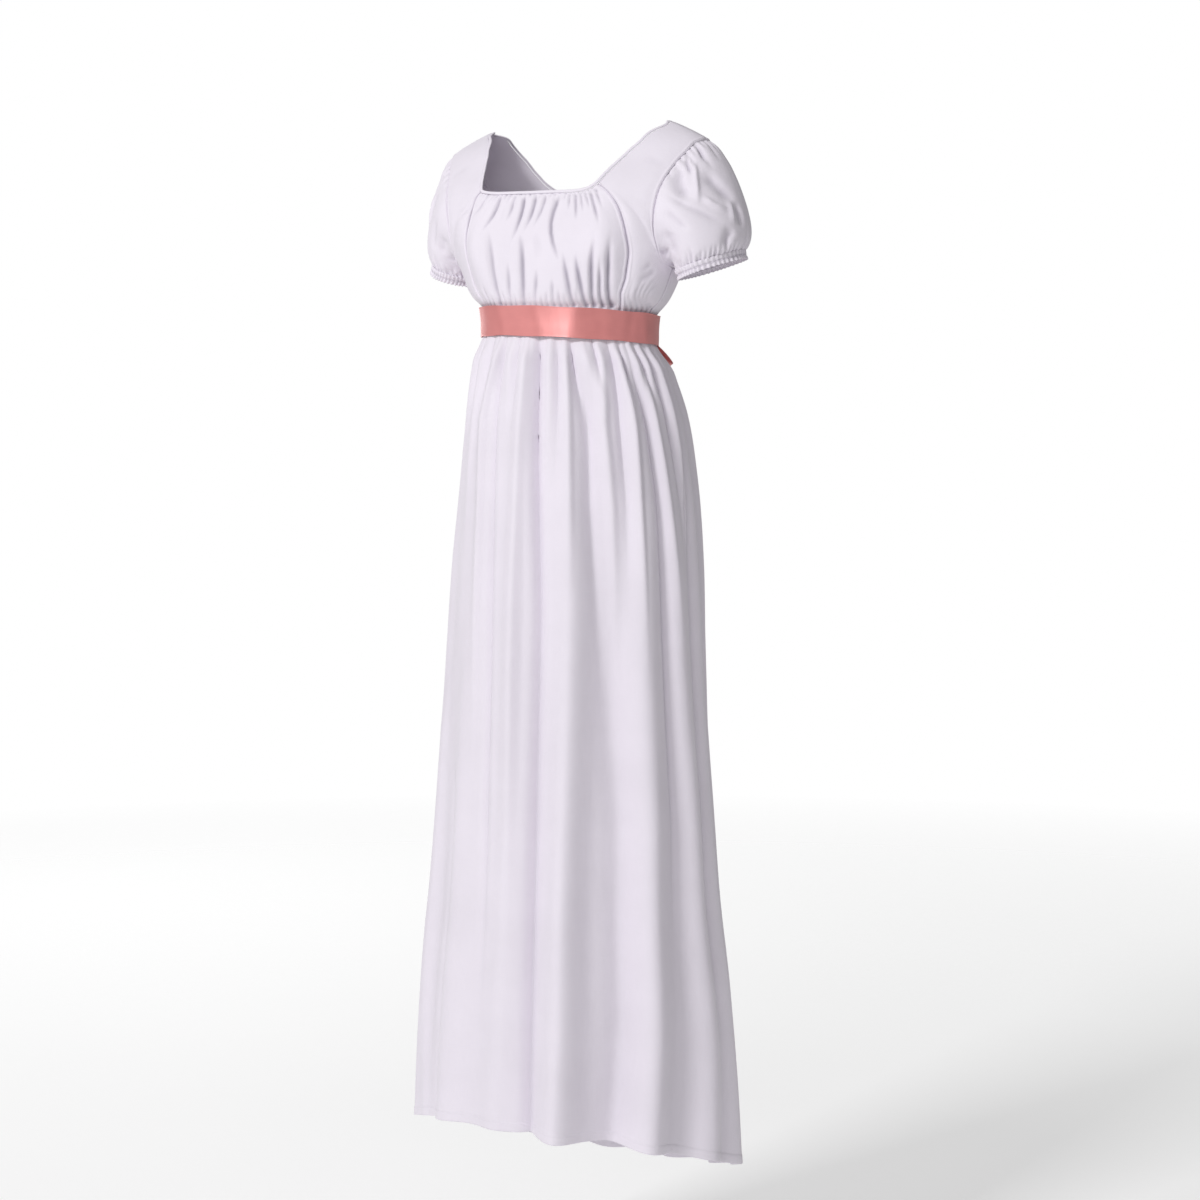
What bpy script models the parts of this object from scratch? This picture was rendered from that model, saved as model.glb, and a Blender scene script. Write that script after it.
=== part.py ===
"""Regency gown: a high-waisted bodice with puff sleeves, a long gathered skirt and a ribbon sash tied behind.

Metres, +Z up. The wearer faces -Y and the wearer's left is +X. The origin is between the shoulder seams,
level with their highest point. Every piece of cloth is a thin wall on one shared form, a hair from the
pieces it is sewn to.
"""

import math

import bmesh
import bpy
import numpy as np

# Cloth and seams
CLOTH = 0.0016          # wall of the gown's cloth
BAND = 0.0020           # wall of the neck binding and the cuffs
RIBBON = 0.0012         # wall of the ribbon
SEAM_GAP = 0.00022      # each piece stops this far short of a seam line

# Heights along the gown
WAIST_Z = -0.2675       # seam under the bust, on the centre line
WAIST_TILT_X = -0.045   # the seam falls towards the wearer's left
WAIST_TILT_Y = -0.050   # and towards the back
HEM_FRONT_Z = -1.313
HEM_BACK_Z = -1.431
ARM_Z = -0.195          # bottom of the armhole
NECK_FRONT_Z = -0.0982  # lower edge of the neck binding at the front
NECK_TILT = -0.0020     # how much lower that edge is towards the wearer's left
NECK_BACK_Z = -0.092    # and at the back

# Neck binding
BINDING_WIDTH = 0.0042

# Form of the bodice, a row per level: z, half width, front depth, back depth, centre y, squareness
FORM = (
    (0.000, 0.1310, 0.004, 0.004, 0.000, 2.00),
    (-0.004, 0.1400, 0.020, 0.020, 0.000, 2.05),
    (-0.012, 0.1580, 0.035, 0.034, 0.000, 2.15),
    (-0.030, 0.1900, 0.056, 0.054, 0.000, 2.25),
    (-0.060, 0.2030, 0.078, 0.073, -0.002, 2.30),
    (-0.095, 0.2000, 0.096, 0.085, -0.006, 2.45),
    (-0.130, 0.1880, 0.094, 0.092, -0.012, 2.60),
    (-0.165, 0.1690, 0.089, 0.095, -0.018, 2.70),
    (-0.195, 0.1520, 0.090, 0.095, -0.023, 2.55),
    (-0.218, 0.1430, 0.092, 0.094, -0.026, 2.30),
    (-0.232, 0.1345, 0.093, 0.093, -0.028, 2.15),
    (-0.243, 0.1235, 0.0935, 0.0915, -0.028, 2.05),
    (-0.249, 0.1190, 0.0912, 0.0905, -0.028, 2.00),
    (-0.300, 0.1185, 0.0910, 0.0905, -0.028, 2.00),
)
WAIST_HALF_X = 0.1185
WAIST_HALF_Y = 0.0910
BUST_Z = -0.172
BUST_ANGLE = 27.0       # degrees from the centre front
BUST_FULL = 0.015
BUST_SPREAD_Z = 0.045
BUST_SPREAD_ANGLE = 17.0

SIDES = {"left": 1, "right": -1}
# Princess seams from the waist to the neckline: x, z (None is the waist seam). The gown hangs a little to the
# wearer's left, so its two sides differ
PRINCESS = {
    "left": (
        (0.1010, None), (0.1035, -0.248), (0.1125, -0.228), (0.1210, -0.206), (0.1262, -0.182),
        (0.1262, -0.158), (0.1205, -0.133), (0.1100, -0.112), (0.0965, -0.0975), (0.0830, -0.0885),
    ),
    "right": (
        (0.0920, None), (0.0940, -0.248), (0.0995, -0.228), (0.1065, -0.206), (0.1120, -0.182),
        (0.1145, -0.158), (0.1120, -0.133), (0.1065, -0.112), (0.1010, -0.0990), (0.0950, -0.0915),
    ),
}
# Neck edge of each strap, from the princess seam to the shoulder seam: x, z
STRAP_FRONT = {
    "left": ((0.0878, -0.0810), (0.0945, -0.0705), (0.1050, -0.0570), (0.1180, -0.0395), (0.1290, -0.0195)),
    "right": ((0.0985, -0.0815), (0.1018, -0.0700), (0.1058, -0.0550), (0.1110, -0.0380), (0.1200, -0.0190)),
}
SHOULDER_NECK = {"left": (0.1360, -0.0030), "right": (0.1320, -0.0030)}
STRAP_BACK = (
    (0.0360, -0.0905), (0.0680, -0.0850), (0.0920, -0.0720), (0.1075, -0.0540), (0.1185, -0.0350),
    (0.1260, -0.0185), (0.1310, -0.0075),
)
SHOULDER_TIP = (0.1890, -0.0295)
# Armholes from the underarm up to the shoulder tip: x, z
ARMHOLE_FRONT = (
    (0.1514, -0.1900), (0.1524, -0.1760), (0.1528, -0.1550), (0.1548, -0.1320), (0.1585, -0.1090),
    (0.1642, -0.0860), (0.1722, -0.0640), (0.1815, -0.0460), (0.1865, -0.0350),
)
ARMHOLE_BACK = (
    (0.1515, -0.1900), (0.1530, -0.1760), (0.1560, -0.1550), (0.1600, -0.1320), (0.1645, -0.1090),
    (0.1695, -0.0860), (0.1755, -0.0640), (0.1820, -0.0460), (0.1865, -0.0350),
)
ARMHOLE_SPLITS = (2, 2, 2, 2, 2, 2, 2, 3, 2, 2)  # sleeve columns to each step up the armhole
SIDE_ROWS = 5           # rows of the side seam under the arm
STRAP_COLUMNS = 8

# Gathers of the centre front: columns, and how many columns each neckline gather takes
FRONT_COLUMNS = 48
NECK_GATHERS = (3, 4, 3, 4, 3, 3, 4, 3, 4, 3, 3, 4, 3, 4)
NECK_GATHER_DEPTH = 0.0030
WAIST_GATHER_DEPTH = 0.0030

# Skirt, a row per level: drop under the waist seam, half width, half depth, centre y
SKIRT = (
    (0.000, 0.1185, 0.0910, -0.028),
    (0.020, 0.1195, 0.0920, -0.028),
    (0.045, 0.1300, 0.1010, -0.023),
    (0.067, 0.1365, 0.1070, -0.019),
    (0.108, 0.1465, 0.1160, -0.013),
    (0.190, 0.1580, 0.1265, -0.010),
    (0.310, 0.1680, 0.1355, -0.010),
    (0.433, 0.1745, 0.1420, -0.012),
    (0.600, 0.1835, 0.1520, -0.013),
    (0.760, 0.1930, 0.1630, -0.013),
    (0.880, 0.2060, 0.1750, -0.010),
    (1.000, 0.2150, 0.1840, -0.008),
    (1.170, 0.2210, 0.1900, -0.008),
)
SKIRT_LEVELS = (0.0, 0.018, 0.034, 0.055, 0.085, 0.13, 0.21, 0.32, 0.46, 0.62, 0.78, 0.90, 1.0)
SKIRT_COLUMNS = 56      # columns of half the skirt
WAIST_GATHERS = 14      # gathers of half the skirt at the waist
SKIRT_GATHER_DEPTH = 0.0062
# Hanging folds of the skirt: degrees from the centre front at the waist and at the hem, height at the hem
# (below 0 is a deep hollow), half width in degrees, level where the fold starts (share of the length)
FOLDS = (
    (-36, -34, 0.012, 10.0, 0.30),
    (-8, -6, 0.008, 8.0, 0.20),
    (13, 20, 0.056, 6.2, 0.03),
    (33, 35, -0.042, 6.5, 0.03),
    (53, 50, 0.046, 8.5, 0.05),
    (78, 78, 0.022, 8.0, 0.20),
    (102, 104, 0.024, 8.0, 0.12),
    (128, 129, 0.030, 9.0, 0.06),
    (154, 155, 0.026, 8.5, 0.10),
    (180, 182, 0.036, 8.5, 0.04),
    (206, 208, 0.026, 8.5, 0.12),
    (234, 235, 0.034, 9.0, 0.05),
    (263, 262, 0.022, 9.0, 0.16),
    (290, 292, 0.026, 9.0, 0.10),
)
FOLD_HOLLOW = 0.013     # how far the cloth between the folds sinks at the hem

# Puff sleeve, levels from the armhole to the cuff
SLEEVE_LEVELS = (0.0, 0.07, 0.16, 0.28, 0.43, 0.60, 0.77, 0.91, 1.0)
CAP_GATHERS = 7         # each side of the shoulder tip
CAP_DEPTH = 0.0050
CUFF_DEPTH = 0.0028
CUFF_TIP = 8.0          # degrees that the cuff's plane rises backwards
# Each sleeve: centre of the cuff's upper edge, its half width and half depth, fullness, and the degrees that
# the cuff's plane rises outwards
SLEEVES = {
    "left": ((0.2020, -0.010, -0.1860), 0.0420, 0.0580, 1.00, 16.0),
    "right": ((0.1870, -0.002, -0.1835), 0.0315, 0.0500, 0.72, 25.0),
}
# Profile of the cuff: distance down the arm, reach outwards, depth of its gathers
CUFF_PROFILE = (
    (0.0004, 0.0, 0.0026), (0.0045, 0.0012, 0.0022), (0.0088, -0.0004, 0.0020), (0.0125, 0.0016, 0.0030),
)
# Shape of the sleeve, a row per direction: degrees from the shoulder tip (90 front or back, 180 underarm),
# then the pull out of the armhole and the pull at the cuff, each outwards, forwards and up
PUFF = (
    (0, 0.022, 0.000, -0.0240, 0.028, 0.000, 0.036),
    (45, 0.019, 0.006, -0.0150, 0.022, 0.009, 0.035),
    (90, 0.017, 0.010, -0.0050, 0.008, 0.013, 0.029),
    (135, 0.010, 0.000, 0.0045, 0.003, 0.007, 0.015),
    (180, 0.006, 0.000, 0.0020, 0.000, 0.000, 0.006),
)
SLEEVE_CLEAR = 0.013    # how far the sleeve first runs on from the bodice before it turns out

# Sash and bow
SASH_COLUMNS = 64
# Profile of the sash: height from the seam, distance off the form
SASH_PROFILE = ((-0.0195, 0.0050), (0.0, 0.0046), (0.0195, 0.0074))
KNOT = (0.030, 0.017, 0.036)
LOOP_LENGTH = 0.080
LOOP_HEIGHT = 0.036
LOOP_FULL = 0.014
LOOP_DROOP = 38.0       # degrees
TAIL_WIDTH = 0.036
TAIL_DROP = 0.16        # share of a tail's length over which it falls from the knot to the skirt
# Each tail: side shift at the knot and at the end, length, distance off the skirt
TAILS = ((0.0115, 0.052, 0.345, 0.0042), (-0.0120, -0.046, 0.300, 0.0042))

COLOURS = {
    "white_cloth": ((0.86, 0.84, 0.89, 1.0), 0.72),
    "binding_cloth": ((0.88, 0.86, 0.90, 1.0), 0.68),
    "ribbon_satin": ((0.86, 0.42, 0.40, 1.0), 0.34),
}


def smooth(table, at, column):
    """A column of a table whose first column rises or falls, as a smooth curve through its rows."""
    rows = np.array(sorted(table), float)
    keys, values = rows[:, 0], rows[:, column]
    steps = np.diff(values) / np.diff(keys)
    slopes = np.concatenate([steps[:1], (steps[:-1] + steps[1:]) / 2, steps[-1:]])
    at = np.clip(at, keys[0], keys[-1])
    i = np.clip(np.searchsorted(keys, at) - 1, 0, len(keys) - 2)
    width = keys[i + 1] - keys[i]
    t = (at - keys[i]) / width
    return (
        (2 * t**3 - 3 * t**2 + 1) * values[i] + (t**3 - 2 * t**2 + t) * width * slopes[i]
        + (3 * t**2 - 2 * t**3) * values[i + 1] + (t**3 - t**2) * width * slopes[i + 1]
    )


def ease(low, high, at):
    """0 below low, 1 above high, and a soft step between."""
    t = np.clip((at - low) / (high - low), 0, 1)
    return t * t * (3 - 2 * t)


def unit(vectors):
    return vectors / np.linalg.norm(vectors, axis=-1, keepdims=True)


def waist_tilt(angle):
    """How far the waist seam is above its middle height at this angle from the centre front."""
    return WAIST_TILT_X * WAIST_HALF_X * np.sin(angle) - WAIST_TILT_Y * WAIST_HALF_Y * np.cos(angle)


def waist_z(angle):
    return WAIST_Z + waist_tilt(angle)


def form(angle, z):
    """Point of the bodice's form at an angle from the centre front (radians) and a height."""
    s, c = np.sin(angle), np.cos(angle)
    level = z - waist_tilt(angle) * (1 - ease(-0.245, -0.200, z))
    power = 2 / smooth(FORM, level, 5)
    depth = np.where(c > 0, smooth(FORM, level, 2), smooth(FORM, level, 3))
    off = (np.degrees(np.abs(angle)) - BUST_ANGLE) / BUST_SPREAD_ANGLE
    depth = depth + BUST_FULL * np.exp(-(((z - BUST_Z) / BUST_SPREAD_Z) ** 2) - off**2)
    x = smooth(FORM, level, 1) * np.sign(s) * np.abs(s) ** power
    y = smooth(FORM, level, 4) - depth * np.sign(c) * np.abs(c) ** power
    return np.stack([x, y, z + 0 * x], axis=-1)


def outward(points):
    """Direction away from the core of the form, shared by all pieces so that their walls meet squarely."""
    x, y, z = points[..., 0], points[..., 1], points[..., 2]
    keep = 0.5 + 0.35 * np.clip((z + 0.19) / 0.17, 0, 1)
    core_z = np.where(z > -0.12, -0.12 + (z + 0.12) * 0.25, z)
    core = np.stack([keep * x, smooth(FORM, z, 4), core_z], axis=-1)
    return unit(points - core)


def angle_at(x, z, back=False):
    """Angle on the form where it is x wide at this height."""
    share = np.clip(np.abs(x) / smooth(FORM, z, 1), 0, 1) ** (smooth(FORM, z, 5) / 2)
    found = np.arcsin(share)
    return math.pi - found if back else found


def grid_mesh(name, inner, outer, ring=False):
    """Closed wall between two grids of points, rows by columns. A ring joins its last column to its first."""
    rows, columns = inner.shape[:2]
    points = np.concatenate([inner.reshape(-1, 3), outer.reshape(-1, 3)])
    side = rows * columns
    faces = []
    for r in range(rows - 1):
        for c in range(columns if ring else columns - 1):
            a, b = r * columns + c, r * columns + (c + 1) % columns
            d, e = a + columns, b + columns
            faces.append((a, d, e, b))
            faces.append((side + a, side + b, side + e, side + d))
    for c in range(columns if ring else columns - 1):
        a, b = c, (c + 1) % columns
        faces.append((a, b, side + b, side + a))
        a, b = a + (rows - 1) * columns, b + (rows - 1) * columns
        faces.append((b, a, side + a, side + b))
    if not ring:
        for r in range(rows - 1):
            a, d = r * columns, (r + 1) * columns
            faces.append((d, a, side + a, side + d))
            a, d = a + columns - 1, d + columns - 1
            faces.append((a, d, side + d, side + a))
    mesh = bpy.data.meshes.new(name)
    mesh.from_pydata([tuple(p) for p in points], [], faces)
    mesh.validate()
    return mesh


def add(name, mesh, slot):
    """Object of this name holding the mesh, faces outward, in its own copy of a material."""
    body = bmesh.new()
    body.from_mesh(mesh)
    if body.calc_volume(signed=True) < 0:
        mesh.flip_normals()
    body.free()
    colour, roughness = COLOURS[slot]
    material = bpy.data.materials.new(name + "_" + slot)
    material.use_nodes = True
    shader = material.node_tree.nodes["Principled BSDF"]
    shader.inputs["Base Color"].default_value = colour
    shader.inputs["Roughness"].default_value = roughness
    shader.inputs["Metallic"].default_value = 0.0
    mesh.materials.append(material)
    obj = bpy.data.objects.new(name, mesh)
    bpy.context.scene.collection.objects.link(obj)
    return obj


def inset(grid, top=SEAM_GAP):
    """The grid with its four edges drawn back from the seam lines."""
    moved = grid.copy()
    moved[:, 0] += SEAM_GAP * unit(grid[:, 1] - grid[:, 0])
    moved[:, -1] += SEAM_GAP * unit(grid[:, -2] - grid[:, -1])
    moved[0] += SEAM_GAP * unit(grid[1] - grid[0])
    moved[-1] += top * unit(grid[-2] - grid[-1])
    return moved


def seam_points(suffix):
    """Edges of half the bodice as rows of (angle, z): princess seam, strap edges, side seam and armholes."""
    side = SIDES[suffix]

    def placed(table, back=False):
        return [(angle_at(x, WAIST_Z if z is None else z, back), z) for x, z in table]

    def level(angle, z):
        return waist_z(side * angle) if z is None else z

    princess = [(a, level(a, z)) for a, z in placed(PRINCESS[suffix])]
    neck_x, neck_z = SHOULDER_NECK[suffix]
    shoulder = [(angle_at(neck_x, neck_z), neck_z), (math.pi / 2, SHOULDER_TIP[1])]
    bottom = level(math.pi / 2, None)
    side_seam = [(math.pi / 2, bottom + (ARM_Z - bottom) * r / SIDE_ROWS) for r in range(SIDE_ROWS + 1)]
    return {
        "princess": princess,
        "strap_front": placed(STRAP_FRONT[suffix]) + shoulder[:1],
        "strap_back": placed(STRAP_BACK, True) + shoulder[:1],
        "side": side_seam,
        "armhole_front": placed(ARMHOLE_FRONT) + shoulder[1:],
        "armhole_back": placed(ARMHOLE_BACK, True) + shoulder[1:],
    }


def strip(inner, outer, columns):
    """Grid in (angle, z) between an inner and an outer edge with the same number of rows."""
    inner, outer = np.array(inner), np.array(outer)
    share = np.linspace(0, 1, columns + 1)[None, :, None]
    return inner[:, None] * (1 - share) + outer[:, None] * share


def tucks(rows, columns):
    """Shallow drag lines of the plain panels, fading at their edges."""
    v = np.linspace(0, 1, rows)[:, None]
    u = np.linspace(0, 1, columns)[None, :]
    return 0.0011 * np.sin(math.pi * v) ** 2 * np.sin(math.pi * u) * np.sin(2.2 * math.pi * (u + 0.35 * v))


def wall_on_form(name, flat, side, lift):
    """Wall of cloth on the form from a grid in (angle, z), lifted off it by this much."""
    points = inset(form(side * flat[..., 0], flat[..., 1]))
    away = outward(points)
    inner = points + away * lift[..., None]
    return grid_mesh(name, inner, inner + CLOTH * away)


def side_front(suffix, edges):
    inner = edges["princess"] + edges["strap_front"]
    outer = edges["side"] + edges["armhole_front"]
    flat = strip(inner, outer, STRAP_COLUMNS)
    name = "bodice_side_" + suffix
    add(name, wall_on_form(name, flat, SIDES[suffix], tucks(*flat.shape[:2])), "white_cloth")


def back_panel(suffix, edges):
    outer = edges["side"] + edges["armhole_back"]
    low = waist_z(math.pi)
    rows = len(outer) - len(edges["strap_back"])
    seam = [(math.pi, low + (NECK_BACK_Z - low) * r / (rows - 1)) for r in range(rows)]
    flat = strip(seam + edges["strap_back"], outer, STRAP_COLUMNS)
    name = "bodice_back_" + suffix
    add(name, wall_on_form(name, flat, SIDES[suffix], tucks(*flat.shape[:2])), "white_cloth")


def front_edge(left, right, share):
    """Angles and heights of the centre front's neckline, and how far it dips under the line of its corners.

    share runs from -1 at the right princess seam to 1 at the left one."""
    (right_angle, right_z), (left_angle, left_z) = right["princess"][-1], left["princess"][-1]
    corners = np.interp(share, (-1, 1), (right_z, left_z))
    dip = (NECK_FRONT_Z + NECK_TILT * share - corners) * (1 - share**6)
    return np.interp(share, (-1, 1), (-right_angle, left_angle)), corners + dip, dip


def centre_front(name, left, right):
    """Gathered panel between the princess seams, from the neck binding to the waist."""
    share = np.linspace(-1, 1, FRONT_COLUMNS + 1)
    rows = len(left["princess"])
    flat = np.zeros((rows, FRONT_COLUMNS + 1, 2))
    dip = front_edge(left, right, share)[2]
    for r in range(rows):
        (right_angle, right_z), (left_angle, left_z) = right["princess"][r], left["princess"][r]
        angle = np.interp(share, (-1, 1), (-right_angle, left_angle))
        across = np.interp(share, (-1, 1), (right_z, left_z))
        flat[r, :, 0] = angle
        flat[r, :, 1] = across + dip * (r / (rows - 1)) ** 3 if r else waist_z(angle)
    height = np.linspace(0, 1, rows)[:, None]
    low = np.where(np.arange(FRONT_COLUMNS + 1) % 2 == 1, 1.0, 0.0)
    low = low * (0.75 + 0.25 * np.sin(1.7 * np.arange(FRONT_COLUMNS + 1)))
    high = np.zeros(FRONT_COLUMNS + 1)
    start = 0
    for width in NECK_GATHERS:
        for c in range(1, width):
            high[start + c] = math.sin(math.pi * c / width) * (0.8 + 0.2 * math.sin(2.3 * start))
        start += width
    edges = np.minimum(1, (1 - np.abs(share)) * 9)[None, :]
    lift = WAIST_GATHER_DEPTH * low * (0.45 + 0.55 * ease(0.1, 0.3, height)) * (1 - ease(0.28, 0.66, height))
    lift = lift + NECK_GATHER_DEPTH * high * ease(0.42, 0.9, height)
    lift = lift + 0.003 * np.sin(math.pi * ease(0.1, 1.0, height)) ** 2 * np.cos(2.5 * math.pi * share) ** 2
    add(name, wall_on_form(name, flat, 1, lift * edges), "white_cloth")


def neck_loop(left, right):
    """Seam line between the bodice and the neck binding, once round the neck from the right front corner."""
    share = np.linspace(-1, 1, FRONT_COLUMNS // 3 + 1)
    points = list(zip(*front_edge(left, right, share)[:2]))
    points += left["strap_front"] + left["strap_back"][-2::-1] + [(math.pi, NECK_BACK_Z)]
    points += [(-angle, z) for angle, z in right["strap_back"] + right["strap_front"][-2::-1]]
    angles, heights = np.array(points).T
    return form(angles, heights)


def neck_binding(name, left, right):
    """Narrow bound edge that continues the bodice into the neck opening."""
    loop = neck_loop(left, right)
    along = unit(np.roll(loop, -1, axis=0) - np.roll(loop, 1, axis=0))
    away = outward(loop)
    into = unit(np.cross(along, away))
    if (into * (loop.mean(axis=0) - loop)).sum() < 0:
        into = -into
    inner, outer = [], []
    for t in (0.0, 0.5, 1.0):
        row = loop + into * (2.2 * SEAM_GAP + BINDING_WIDTH * t)
        inner.append(row - away * 0.0003 * math.sin(math.pi * t))
        outer.append(row + away * BAND * (0.85 + 0.3 * math.sin(math.pi * t)))
    inner, outer = np.array(inner), np.array(outer)
    add(name, grid_mesh(name, inner, outer, ring=True), "binding_cloth")


def bezier(start, pull, push, end, t):
    return (1 - t) ** 3 * start + 3 * (1 - t) ** 2 * t * pull + 3 * (1 - t) * t**2 * push + t**3 * end


def armhole_ring(side, edges):
    """Points once round the armhole from the shoulder tip over the front, and their degrees from that tip."""
    ring, share = [], []
    for key, turn in (("armhole_front", False), ("armhole_back", True)):
        edge = np.array([edges["side"][-1]] + edges[key])
        knots = form(side * edge[:, 0], edge[:, 1])
        points = [knots[0]]
        for a, b, times in zip(knots[:-1], knots[1:], ARMHOLE_SPLITS):
            points += [a + (b - a) * k / times for k in range(1, times + 1)]
        points = np.array(points)
        along = np.concatenate([[0], np.cumsum(np.linalg.norm(np.diff(points, axis=0), axis=1))])
        down = 180 * (1 - along / along[-1])
        if turn:
            ring += list(points[:-1])
            share += list(360 - down[:-1])
        else:
            ring += list(points[:0:-1])
            share += list(down[:0:-1])
    return np.array(ring), np.array(share)


def sleeve_and_cuff(suffix, edges):
    """Puff sleeve gathered into the armhole and into a narrow cuff, and that cuff."""
    side = SIDES[suffix]
    middle, half_x, half_y, full, rise = SLEEVES[suffix]
    start, degrees = armhole_ring(side, edges)
    turn = np.radians(degrees)
    lean = math.radians(rise)
    tip = math.radians(CUFF_TIP)
    across = np.array([side * math.cos(lean), 0, math.sin(lean)])
    level_down = np.array([side * math.sin(lean), 0, -math.cos(lean)])
    forward = np.array([0, -math.cos(tip), 0]) + level_down * math.sin(tip)
    down = level_down * math.cos(tip) + np.array([0, math.sin(tip), 0])
    centre = np.array(middle) * (side, 1, 1)
    reach = half_x * np.cos(turn)[:, None] * across + half_y * np.sin(turn)[:, None] * forward
    radial = unit(reach / np.array([1.0, 1.3, 1.0]))
    end = centre + reach
    fold = np.where(degrees > 180, 360 - degrees, degrees)
    face = np.where(degrees > 180, 1.0, -1.0)
    pulls = [smooth(PUFF, fold, i) * (full if i in (1, 4, 5) else 1.0) for i in range(1, 7)]
    clear = start.mean(axis=0) - start
    clear = unit(clear - outward(start) * (clear * outward(start)).sum(axis=-1)[:, None])
    clear = clear * (SLEEVE_CLEAR * (0.3 + 0.7 * (fold / 180.0) ** 2))[:, None]
    pull = start + clear + np.stack([side * pulls[0], face * pulls[1], pulls[2]], axis=-1)
    push = end + np.stack([side * pulls[3], face * pulls[4], pulls[5]], axis=-1)
    base = np.array([bezier(start, pull, push, end, t) for t in SLEEVE_LEVELS])
    base[0] += 2 * SEAM_GAP * unit(base[1] - base[0])
    base[-1] += SEAM_GAP * unit(base[-2] - base[-1])
    along = np.gradient(base, axis=0)
    around = np.roll(base, -1, axis=1) - np.roll(base, 1, axis=1)
    away = unit(np.cross(around, along)) * side
    low = (fold / 180.0)[:, None] ** 1.5
    for row, keep in ((1, 0.85), (2, 0.65), (3, 0.35)):
        away[row] = unit(away[row] * (1 - keep * low) + outward(start) * keep * low)
    away[0], away[-1] = outward(start), radial
    count = len(degrees)
    level = np.array(SLEEVE_LEVELS)[:, None]
    cap = np.cos(math.pi * CAP_GATHERS * fold / 90.0) * np.clip(1 - (fold / 118.0) ** 4, 0, 1)
    cuff = np.where(np.arange(count) % 2 == 0, 1.0, 0.0) * (0.8 + 0.2 * np.sin(1.9 * np.arange(count)))
    lift = CAP_DEPTH * (0.5 + 0.5 * cap) * ease(0.0, 0.16, level) * (1 - ease(0.22, 0.66, level))
    lift = lift * np.clip(1 - (fold / 130.0) ** 4, 0, 1)
    lift = lift + CUFF_DEPTH * cuff * ease(0.52, 0.92, level)
    inner = base + away * lift[..., None]
    mesh = grid_mesh("sleeve_" + suffix, inner, inner + CLOTH * away, ring=True)
    add("sleeve_" + suffix, mesh, "white_cloth")
    rows = [end + down * d + radial * (r + g * cuff)[:, None] for d, r, g in CUFF_PROFILE]
    inner = np.array(rows)
    mesh = grid_mesh("cuff_" + suffix, inner, inner + BAND * radial, ring=True)
    add("cuff_" + suffix, mesh, "white_cloth")


def hem_z(angle):
    return HEM_FRONT_Z + (HEM_BACK_Z - HEM_FRONT_Z) * ((1 - np.cos(angle)) / 2) ** 1.15


def skirt_point(angle, share):
    """Inner side of the skirt at an angle from the centre front and a share of the way to the hem."""
    drop = share * (waist_z(angle) - hem_z(angle))
    half_x, half_y, centre = (smooth(SKIRT, drop, i) for i in (1, 2, 3))
    away = unit(np.stack([np.sin(angle) * half_y, -np.cos(angle) * half_x, 0 * angle], axis=-1))
    degrees = np.degrees(angle)
    bulge = -FOLD_HOLLOW * share + 0 * degrees
    for waist, hem, height, width, begins in FOLDS:
        apart = (degrees - (waist + (hem - waist) * share) + 180) % 360 - 180
        grown = np.clip((share - begins) / (1 - begins), 0, 1) ** 0.8
        bulge = bulge + height * grown * np.exp(-((apart / width) ** 2))
    wave = 0.5 + 0.5 * np.cos(np.radians(degrees * 2 * WAIST_GATHERS))
    uneven = 0.78 + 0.22 * np.sin(degrees * 0.083 + 1.0) * np.sin(degrees * 0.031)
    depth = SKIRT_GATHER_DEPTH * (0.22 + 0.78 * ease(0.014, 0.06, share)) * (1 - ease(0.10, 0.52, share))
    bulge = bulge + depth * wave * uneven
    ring = [half_x * np.sin(angle), centre - half_y * np.cos(angle), waist_z(angle) - drop]
    return np.stack(ring, axis=-1) + away * bulge[..., None]


def skirt_away(angle, share):
    """Level direction square to the skirt's surface."""
    step = skirt_point(angle + 0.006, share) - skirt_point(angle - 0.006, share)
    return unit(np.stack([-step[..., 1], step[..., 0], 0 * angle], axis=-1) * -1)


def skirt_panel(name, first, last):
    """Panel of the skirt between two seams, gathered at the waist and hanging in folds."""
    angle = np.radians(np.linspace(first, last, round(SKIRT_COLUMNS * (last - first) / 180) + 1))
    inner = inset(np.array([skirt_point(angle, share) for share in SKIRT_LEVELS]), top=0)
    away = np.array([skirt_away(angle, share) for share in SKIRT_LEVELS])
    add(name, grid_mesh(name, inner, inner + CLOTH * away), "white_cloth")


def sash(name):
    """Ribbon round the waist seam."""
    angle = np.radians(np.arange(SASH_COLUMNS) * 360 / SASH_COLUMNS)
    rows = []
    for height, off in SASH_PROFILE:
        ring = form(angle, waist_z(angle))
        ring[:, 2] += height
        rows.append(ring + outward(ring) * (CLOTH + off))
    inner = np.array(rows)
    add(name, grid_mesh(name, inner, inner + RIBBON * outward(inner), ring=True), "ribbon_satin")


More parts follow.
